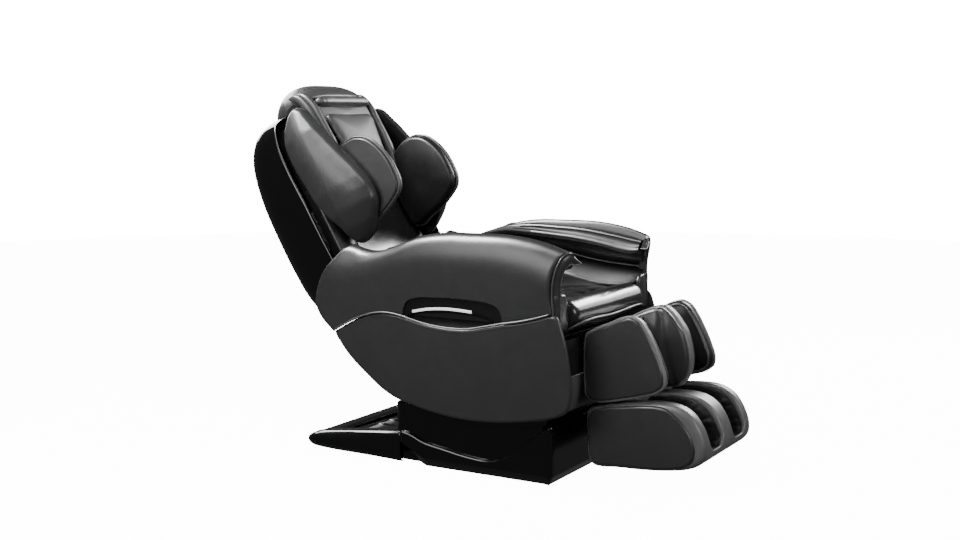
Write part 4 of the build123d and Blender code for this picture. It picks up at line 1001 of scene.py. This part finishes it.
# back pad: flat along its length, its lower and upper ends swelling in lobes, closed behind
pad_leather = finish("pad_leather", (.018, .018, .019), .24, grain=.08, coat=.3)
CHANNEL = .0925
up = np.concatenate([[.098, .100, .105, .113], np.linspace(.125, .845, 90), [.855, .862, .866, .868]])
x = .182 * np.linspace(-1, 1, 121)
ends = np.zeros(len(up))
ends[:4] = arch(np.clip((.125 - up[:4]) / .027, 0, 1))
ends[-4:] = arch((up[-4:] - .845) / .0235)
lobe = np.abs(np.sin(np.pi * x / CHANNEL)) ** .5
edge_round = arch(np.clip((np.abs(x) - .160) / .0225, 0, 1))
ripple = .0012 * np.sin(up[:, None] * 41 + 2.1 * x / CHANNEL) * lobe
stuffing = .024 + .030 * lobe + .010 * bell(up, .30, .10)[:, None] + ripple
front = -.014 + stuffing * edge_round * ends[:, None]
pad_front = on_back(x, up[:, None], front)
pad_back = on_back(x, up[:, None], np.full_like(front, -.0175))[:, ::-1]
pad = skin("back_pad", np.concatenate([pad_front, pad_back[:, 1:-1]], 1), [pad_leather],
           wrap=(False, True), caps=True, sharp=75)
place(pad, "backrest", "black_leather", "backrest_pad", fill=.8)

# side linings between the pad and the shell's rim
for side, hand in SIDES:
    up = np.linspace(.150, .862, 60)
    rim_x = np.interp(up, (.15, .20, .72, .80, .862), (.248, .262, .262, .245, .190)) - .004
    share = np.linspace(0, 1, 14)
    x = .176 + (rim_x[:, None] - .176) * share[None]
    out = -.020 - .022 * share ** 2 + .010 * np.sin(np.pi * share)
    lining = skin(f"back_lining_{hand}", on_back(side * x, up[:, None], out), [air_leather],
                  inside=tuple(on_back(0.0, .5, -.6)))
    thicken(lining, .003)
    place(lining, "backrest", "black_leather")

# shoulder wings: a curved padded panel each side, its rear edge outside the shell
WING = curve([(.352, .017), (.360, .068), (.404, .126), (.450, .163), (.500, .171), (.560, .158),
              (.650, .127), (.742, .096), (.808, .074), (.846, .060), (.862, .040), (.853, .014),
              (.826, -.014), (.793, -.035), (.742, -.048), (.673, -.050), (.606, -.043),
              (.539, -.036), (.473, -.021), (.418, -.002), (.378, .004)], 200, closed=True)


def wing_face(up, out):
    """Outer face of a wing: it leans in from the shell's side to the front edge."""
    reach = np.interp(up, (.35, .40, .45, .50, .65, .742, .863), (.06, .12, .163, .171, .127, .096, .062))
    share = np.clip((out + .045) / (.045 + reach), 0, 1)
    lean_in = np.interp(up, (.35, .45, .70, .863), (.040, .054, .052, .030))
    side_x = np.interp(up, (.35, .40, .46, .54, .76, .863), (.236, .262, .280, .2895, .2895, .270))
    return side_x - .004 * share - .55 * lean_in * share ** 4


wing_leather = finish("wing_leather", (.036, .036, .037), .38, grain=.14, sheen=.05, mottle=.05)
for side, hand in SIDES:
    flat, height = panel_rings(WING, .015, .0035, rings=22, turns=10, back=.35)
    x = wing_face(flat[..., 0], flat[..., 1]) - .040 + height * 2.6
    grid = on_back(side * x, flat[..., 0], flat[..., 1])
    which = np.zeros((grid.shape[0] - 1, grid.shape[1]), int)
    which[:5] = 1
    wing = skin(f"shoulder_wing_shell_{hand}", grid, [wing_leather, air_leather], which,
                wrap=(False, True))
    place(wing, "backrest", "charcoal_leather", f"shoulder_wing_{hand}", fill=.8)

# shoulder air pads: a charcoal outer panel, a corded rim, and a black cushion inside
POD = curve([(.678, .120), (.674, .163), (.652, .199), (.606, .229), (.556, .244), (.500, .2465),
             (.462, .2410), (.438, .226), (.424, .200), (.404, .140), (.393, .075), (.386, .025),
             (.395, .004), (.440, -.004), (.540, -.002), (.620, .016), (.662, .062)], 190, closed=True)
pod_inset = scaled(POD, .985)
for side, hand in SIDES:
    outer = panel(f"shoulder_pad_outer_{hand}", pod_inset, .006, .0015, wing_leather,
                  leaning(.186, 2.2, side), rings=14)
    place(outer, "backrest", "charcoal_leather", f"shoulder_pod_{hand}")
    for number, x, thick in ((1, .1885, .0033), (2, .1800, .0040)):
        cord(f"shoulder_pad_cord_{number}_{hand}", on_back(side * x, *scaled(POD, 1.004).T), thick,
             "backrest", closed=True, taper=0)
    flat, height = panel_rings(pod_inset, .012, .003, rings=18, back=.1)
    dish = .004 * bell(flat[..., 0], .52, .07) * bell(flat[..., 1], .13, .05)
    inner = skin(f"shoulder_pad_inner_{hand}",
                 on_back(side * (.182 - height * 2.5 + dish), flat[..., 0], flat[..., 1]), [black_leather],
                 wrap=(False, True))
    place(inner, "backrest", "black_leather", fill=.6)

# hood: a padded cap over the shell's top, domed across, with two side rolls under its ends
hood_leather = finish("hood_leather", (.075, .075, .077), .40, grain=.14, sheen=.05, mottle=.05)
HOOD = curve([(.872, -.150), (.885, -.180), (.915, -.190), (.950, -.172), (.973, -.130),
              (.983, -.070), (.981, -.020), (.968, .018), (.945, .045), (.915, .062), (.896, .064),
              (.888, .048), (.884, 0), (.880, -.060), (.874, -.110)], 110, closed=True)
share = squared(np.sin(np.linspace(-1, 1, 61) * np.pi / 2), .9)
hood_anchor = np.array([.884, -.03])
shrink = (1 - np.abs(share) ** 3.4 * .98) ** .45
hood_flat = hood_anchor + (HOOD - hood_anchor)[None] * np.stack([shrink, .45 + .55 * shrink], 1)[:, None]
hood_wide = np.interp(HOOD[:, 1], (-.19, -.13, -.06, .01), (.100, .136, .174, .186))
hood_piece = skin("hood_cap", on_back(hood_wide * share[:, None], hood_flat[..., 0], hood_flat[..., 1]),
                  [hood_leather], wrap=(False, True), caps=True)
place(hood_piece, "backrest", "charcoal_leather", "hood", fill=.7)

section = np.linspace(0, 2 * np.pi, 24, endpoint=False)
for side, hand in SIDES:
    for number, low_x, high_x, width, reach in ((1, .158, .168, .013, .058), (2, .178, .190, .011, .046)):
        line = curve([(.560, .012), (.600, reach * .7), (.66, reach * .95), (.80, reach),
                      (.868, reach - .004), (.905, reach - .020), (.925, reach - .052)], 80)
        step = unit(np.gradient(line, axis=0))
        share = np.linspace(0, 1, 80)
        thin = np.sqrt(np.clip(np.minimum(share, 1 - share) / .08, .02, 1))[:, None]
        x = np.linspace(low_x, high_x, 80)[:, None] + width * thin * squared(np.cos(section), .8)
        deep = .014 * thin * squared(np.sin(section), .8)
        roll = on_back(side * x, line[:, :1] - step[:, 1:] * deep, line[:, 1:] + step[:, :1] * deep)
        roll = skin(f"hood_side_roll_{number}_{hand}", roll, [hood_leather], wrap=(False, True), caps=True)
        place(roll, "backrest", "charcoal_leather", fill=.8)

# head pillow: a roll on the hinge and a pad that hangs from it and narrows downwards
pillow_leather = finish("pillow_leather", (.085, .085, .087), .40, grain=.14, sheen=.05, mottle=.05)
turn = np.linspace(0, 2 * np.pi, 40, endpoint=False)
share = np.sin(np.linspace(-np.pi / 2, np.pi / 2, 61))
size = ((1 - np.abs(share) ** 9 * .995) ** .5 * (1 - .10 * bell(np.abs(share), .80, .018)))[:, None]
pillow_roll = skin("pillow_roll", on_back(.151 * share[:, None],
                                          .8715 + .0190 * size * squared(np.cos(turn), .8),
                                          .0660 + .0215 * size * squared(np.sin(turn), .8)),
                   [pillow_leather], wrap=(False, True), caps=True)
place(pillow_roll, "head_pillow", "charcoal_leather", "head_pillow", fill=.8)
PILLOW = curve([(0, .8305), (.080, .8305), (.118, .8300), (.133, .824), (.1385, .806), (.133, .770),
                (.122, .700), (.112, .660), (.100, .643), (.080, .6365), (0, .635), (-.080, .6365),
                (-.100, .643), (-.112, .660), (-.122, .700), (-.133, .770), (-.1385, .806),
                (-.133, .824), (-.118, .8300), (-.080, .8305)], 170, closed=True)
pillow = panel("pillow_pad", PILLOW, .013, .006, pillow_leather, leaning(.054, 1.35), rings=18, turns=9)
swell(pillow, .005, 3.0, .004)
place(pillow, "head_pillow", "charcoal_leather", fill=.7)

COLLAR = curve([(0, .872), (.120, .872), (.140, .868), (.1455, .850), (.1460, .830), (.143, .800),
                (.120, .790), (0, .790), (-.120, .790), (-.143, .800), (-.1460, .830),
                (-.1455, .850), (-.140, .868), (-.120, .872)], 120, closed=True)
collar = panel("pillow_collar", COLLAR, .007, .002, pillow_leather, leaning(.040, 3.1), rings=12)
place(collar, "head_pillow", "charcoal_leather", fill=.6)

# the cloth that closes the gap between the seat cushion and the back pad over the hinge
gap_line = curve([(.128, .506), (.160, .500), (.200, .488), (.240, .484), (.275, .492),
                  (.292, .508)], 60)
across = np.linspace(-.252, .252, 60)[:, None]
gap_cover = across_chair(across, np.broadcast_to(gap_line, (60, 60, 2)))
gap_cover[..., 2] += .002 * np.sin(across * 47) * np.sin(np.linspace(0, np.pi, 60))
gap_cover = skin("hinge_cloth", gap_cover, [air_leather], inside=(0, .2, 0))
thicken(gap_cover, .003)
settle(gap_cover)
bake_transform(gap_cover)

# ---------------------------------------------------------------------------------------
# Massage carriage. It runs on the rails behind the back pad; frame parts carry it all.
# ---------------------------------------------------------------------------------------
dress(cast_metal, "massage_carriage")

# ---------------------------------------------------------------------------------------
# Leg rest. A moulded core behind two open calf channels: charcoal side covers with a grey
# rim, black air pads inside them, soft pads on both faces of the middle divider, and a
# corded calf cushion at the back of each channel.
# ---------------------------------------------------------------------------------------
calf_leather = finish("calf_leather", (.037, .037, .038), .36, grain=.14, sheen=.05, mottle=.05)
rim_leather = finish("rim_leather", (.185, .185, .188), .38, grain=.10)
CALF = curve([(-.440, .468), (-.470, .489), (-.519, .510), (-.562, .530), (-.593, .536), (-.618, .526),
              (-.644, .494), (-.669, .450), (-.694, .395), (-.706, .356), (-.7015, .327), (-.683, .311),
              (-.628, .290), (-.566, .274), (-.503, .261), (-.466, .2605), (-.444, .275), (-.4365, .316),
              (-.4345, .375), (-.4355, .440)], 190, closed=True)
CALF_MIDDLE = CALF.mean(0)
DIVIDER = curve([(-.470, .489), (-.519, .512), (-.562, .533), (-.593, .543), (-.621, .543),
                 (-.647, .524), (-.670, .496), (-.685, .475), (-.702, .426), (-.7085, .379),
                 (-.703, .336), (-.680, .300), (-.628, .287), (-.566, .274), (-.503, .262)], 150)
DIVIDER_RING = curve(np.vstack([DIVIDER, [(-.462, .275), (-.455, .375), (-.460, .478)]]), 190, closed=True)


def inset(line, amount):
    """A closed outline drawn in by an amount along its inward normal."""
    return line + inward_normals(line) * amount


def rim_band(name, line, low_x, high_x, depth, look, side=1, round_by=.6, closed=True):
    """A band along an outline: a squared oval, high_x less low_x wide and depth deep."""
    turn = np.linspace(0, 2 * np.pi, 28, endpoint=False)
    sunk = depth / 2 * (1 - squared(np.sin(turn), round_by))
    flat = line[:, None] + inward_normals(line, closed)[:, None] * sunk[None, :, None]
    x = (low_x + high_x) / 2 + (high_x - low_x) / 2 * squared(np.cos(turn), round_by)
    return skin(name, across_chair(x, flat) * (side, 1, 1), [look], wrap=(closed, True),
                caps=not closed, sharp=60)


CORE = curve([(-.4400, .4665), (-.470, .487), (-.512, .502), (-.538, .506), (-.548, .498), (-.550, .470),
              (-.549, .400), (-.549, .330), (-.546, .292), (-.520, .2690), (-.480, .2640), (-.450, .276),
              (-.4385, .316), (-.4365, .375), (-.4375, .430)], 120, closed=True)
core_x = np.array([-.1990, -.1985, -.196, -.190, *np.linspace(-.18, .18, 25), .190, .196, .1985, .1990])
core_size = np.concatenate([[.965, .985, .996, 1], np.ones(25), [1, .996, .985, .965]])
core_flat = scaled(CORE, core_size[:, None, None])
core = skin("calf_core", across_chair(core_x[:, None], core_flat), [satin_plastic], wrap=(False, True),
            caps=True)
place(core, "leg_rest", "black_plastic", "calf_shell")
divider = rim_band("calf_divider", DIVIDER, -.0195, .0195, .030, rim_leather, closed=False, round_by=.7)
place(divider, "leg_rest", "grey_trim")

for side, hand in SIDES:
    cover = panel(f"calf_cover_{hand}", inset(CALF, .006), .008, .0012, calf_leather,
                  standing(side, .200, 2.25))
    place(cover, "leg_rest", "charcoal_leather", f"calf_side_cover_{hand}")
    band = rim_band(f"calf_rim_{hand}", CALF, .1975, .2125, .016, rim_leather, side)
    place(band, "leg_rest", "grey_trim")

    outer = panel(f"calf_air_pad_outer_{hand}", inset(CALF, .004), .014, .008, black_leather,
                  standing(side, .197, -1.9), rings=18, back=.1)
    place(outer, "leg_rest", "black_leather", *once(side, "calf_pads"), fill=.7)
    front = inset(CALF, .0120)
    front = front[front[:, 0] < -.545]
    order = np.argsort(np.arctan2(front[:, 1] - CALF_MIDDLE[1], CALF_MIDDLE[0] - front[:, 0]))
    cord(f"calf_pad_cord_{hand}", across_chair(side * .1690, curve(front[order][::4], 110)), .0026,
         "leg_rest", taper=.02)

    flat, height = panel_rings(DIVIDER_RING, .016, .012, rings=22, turns=9, back=.1)
    flat = scaled(flat, .965, CALF_MIDDLE)
    soft = sum(deep * bell(flat[..., 0], y + slant * (flat[..., 1] - .40), width)
               for deep, y, slant, width in ((.0035, -.640, .25, .010), (.0025, -.600, -.2, .014)))
    x = .017 + height * 1.45 - soft * (height > .012)
    inner = skin(f"calf_air_pad_inner_{hand}", across_chair(x, flat) * (side, 1, 1), [calf_leather],
                 wrap=(False, True))
    place(inner, "leg_rest", "charcoal_leather", fill=.65)

    # calf cushion at the back of the channel, four stuffed rolls
    up = np.linspace(.286, .512, 80)
    wide = np.linspace(-1, 1, 30)
    roll = .010 * np.abs(np.sin(np.pi * (up - .286) / .0565)) ** .5
    y = -.555 - roll[:, None] * arch(wide ** 3) - .012 * wide ** 2
    sheet = np.stack(np.broadcast_arrays(.108 + .052 * wide, y, up[:, None]), -1)
    rear = sheet[:, ::-1].copy()
    rear[..., 1] = -.549
    calf_rest = skin(f"calf_rest_{hand}", np.concatenate([sheet, rear[:, 1:-1]], 1) * (side, 1, 1),
                     [black_leather], wrap=(False, True), caps=True, sharp=70)
    place(calf_rest, "leg_rest", "black_leather", fill=.7)

# ---------------------------------------------------------------------------------------
# Foot section. One grey upholstered shell with a rounded nose and two deep foot wells,
# charcoal side panels let into its sides, wrinkled knitted linings in the wells and two
# roller shafts under the soles.
# ---------------------------------------------------------------------------------------
foot_grey = finish("foot_leather", (.150, .150, .153), .36, grain=.10)
# the wells' lining: a dark knitted cloth, darkened past its own colour as painted shade deep in the wells
lining_cloth_and_shade = finish("well_lining_and_shade", (.007, .007, .008), .45, weave=.4, sheen=.12, mottle=.35)
NOSE = curve([(-.440, .221), (-.452, .239), (-.483, .251), (-.566, .266), (-.628, .274), (-.680, .2775),
              (-.720, .276), (-.752, .268), (-.783, .249), (-.806, .220), (-.822, .187), (-.830, .155),
              (-.827, .126), (-.808, .101), (-.775, .085), (-.724, .074), (-.632, .064), (-.537, .060),
              (-.486, .0565), (-.466, .059), (-.450, .078), (-.4435, .137), (-.4385, .197)], 420,
             closed=True)
nose_run = length_along(NOSE)
WELL_START = nose_run[np.argmin(np.abs(NOSE[:, 0] + .566) + 10 * (NOSE[:, 1] < .2))]
WELL_END = nose_run[np.argmin(np.hypot(NOSE[:, 0] + .827, NOSE[:, 1] - .128))]
WELL_X, WELL_HALF, WELL_ROUND, LIP = .0960, .0680, .050, .013
FLOOR_PATH = curve([(-.566, .262), (-.567, .200), (-.569, .135), (-.580, .116), (-.610, .112),
                    (-.700, .114), (-.770, .119), (-.800, .124), (-.826, .128)], 300)
FOOT_PANEL = curve([(-.452, .214), (-.463, .232), (-.490, .243), (-.566, .257), (-.628, .265),
                    (-.676, .2685), (-.704, .2655), (-.735, .248), (-.768, .216), (-.790, .180),
                    (-.7985, .146), (-.793, .116), (-.770, .096), (-.724, .083), (-.632, .073),
                    (-.537, .068), (-.490, .066), (-.469, .071), (-.4585, .090), (-.4535, .137),
                    (-.4505, .190)], 190, closed=True)


def well_inside(run, x):
    """How far inside the rounded outline of a foot well a point of the shell lies."""
    along = np.abs(run - (WELL_START + WELL_END) / 2) - (WELL_END - WELL_START) / 2 + WELL_ROUND
    across = np.abs(np.abs(x) - WELL_X) - WELL_HALF + WELL_ROUND
    corner = np.hypot(np.maximum(along, 0), np.maximum(across, 0))
    return WELL_ROUND - corner - np.minimum(np.maximum(along, across), 0)


def well_floor(run):
    """The point of the well's floor that faces each point of the shell's outline."""
    return bent_even(FLOOR_PATH, np.clip((run - WELL_START) / (WELL_END - WELL_START), 0, 1))


# columns across one half of the shell, close together at the well's edges
into_well = np.array([-.004, 0, .0008, .002, .004, .0065, .009, .0115, .0128, .0138, .0150, .0165, .018])
half_x = np.concatenate([
    np.linspace(0, .020, 5), WELL_X - WELL_HALF + into_well, WELL_X + WELL_HALF - into_well,
    np.linspace(WELL_X - WELL_HALF + .024, WELL_X + WELL_HALF - .024, 12),
    [.182, .190, .196, .2005, .2035, .2050, .2055]])
foot_x = np.unique(np.round([*-half_x, *half_x], 5))
edge_pull = .020 * (1 - np.sqrt(1 - np.clip((np.abs(foot_x) - .1855) / .020, 0, 1) ** 2))
shell_line = NOSE[:, None] - unit(NOSE - (-.640, .165))[:, None] * edge_pull[None, :, None]
deep_in = well_inside(nose_run[:, None], foot_x[None])
to_floor = well_floor(nose_run)[:, None] - shell_line
far = np.linalg.norm(to_floor, axis=2)
lip_drop = LIP - np.sqrt(np.clip(LIP ** 2 - np.clip(deep_in, 0, LIP) ** 2, 0, None))
wall_drop = np.clip((deep_in - LIP) / .004, 0, 1) * far
drop = np.where(deep_in > 0, np.minimum(np.maximum(lip_drop, wall_drop), far), 0)
foot_flat = shell_line + to_floor / np.maximum(far, 1e-6)[..., None] * drop[..., None]
foot_body = skin("foot_body", across_chair(foot_x, foot_flat).transpose(1, 0, 2), [foot_grey],
                 wrap=(False, True), caps=True, sharp=70)
place(foot_body, "foot_rest", "grey_trim", "foot_shell")

for side, hand in SIDES:
    cover = panel(f"foot_cover_{hand}", FOOT_PANEL, .008, .0010, calf_leather, standing(side, .198, 2.0))
    place(cover, "foot_rest", "charcoal_leather", f"foot_side_panel_{hand}")

    # the well's lining: down one wall, over the sole and up the other, gathered in wrinkles
    run = np.linspace(WELL_START + .010, WELL_END - .0165, 150)
    near_end = np.clip((run - (WELL_END - WELL_ROUND)) / (WELL_ROUND - .0135), 0, 1)
    half = (WELL_HALF - .0165) - (WELL_ROUND - .0165) * (1 - np.sqrt(1 - near_end ** 2))
    top = read_off(run, nose_run, NOSE)
    to_sole = well_floor(run) - top
    depth = np.linalg.norm(to_sole, axis=1)
    first = np.minimum(.012, depth)
    last = np.maximum(depth - .004, first)
    wall = np.linspace(0, 1, 26)
    down = first[:, None] + (last - first)[:, None] * np.concatenate([wall, np.ones(20), wall[::-1]])
    cross = np.concatenate([-np.ones(26), np.linspace(-1, 1, 22)[1:-1], np.ones(26)])
    wave = sum(size * np.sin(run[:, None] * along + turned * cross + deep * down + start)
               for size, along, turned, deep, start in (
                   (.5, 95, 3.0, 55, 0), (.3, 171, -2.0, 90, 1.3), (.4, 53, 0, 40, .6)))
    body_part = np.clip((down - first[:, None]) / .020, 0, 1)
    ruck = np.abs(.0030 * wave * body_part)
    x = WELL_X + (half[:, None] - .0012 - .004 * body_part) * cross - np.sign(cross) * ruck
    flat = top[:, None] + (to_sole / np.maximum(depth, 1e-6)[:, None])[:, None] * (down - ruck)[..., None]
    sock = skin(f"well_lining_and_shade_{hand}", across_chair(x, flat) * (side, 1, 1), [lining_cloth_and_shade],
                inside=(side * WELL_X, -.68, .0), sharp=80)
    thicken(sock, .0015, offset=0)
    place(sock, "foot_rest", "dark_fabric", *once(side, "foot_linings"))

# ---------------------------------------------------------------------------------------
# The finished chair's size beside the frame's.
# ---------------------------------------------------------------------------------------
size = {"cad": [list(c) for c in cad_box], "visual": [list(c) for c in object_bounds()]}
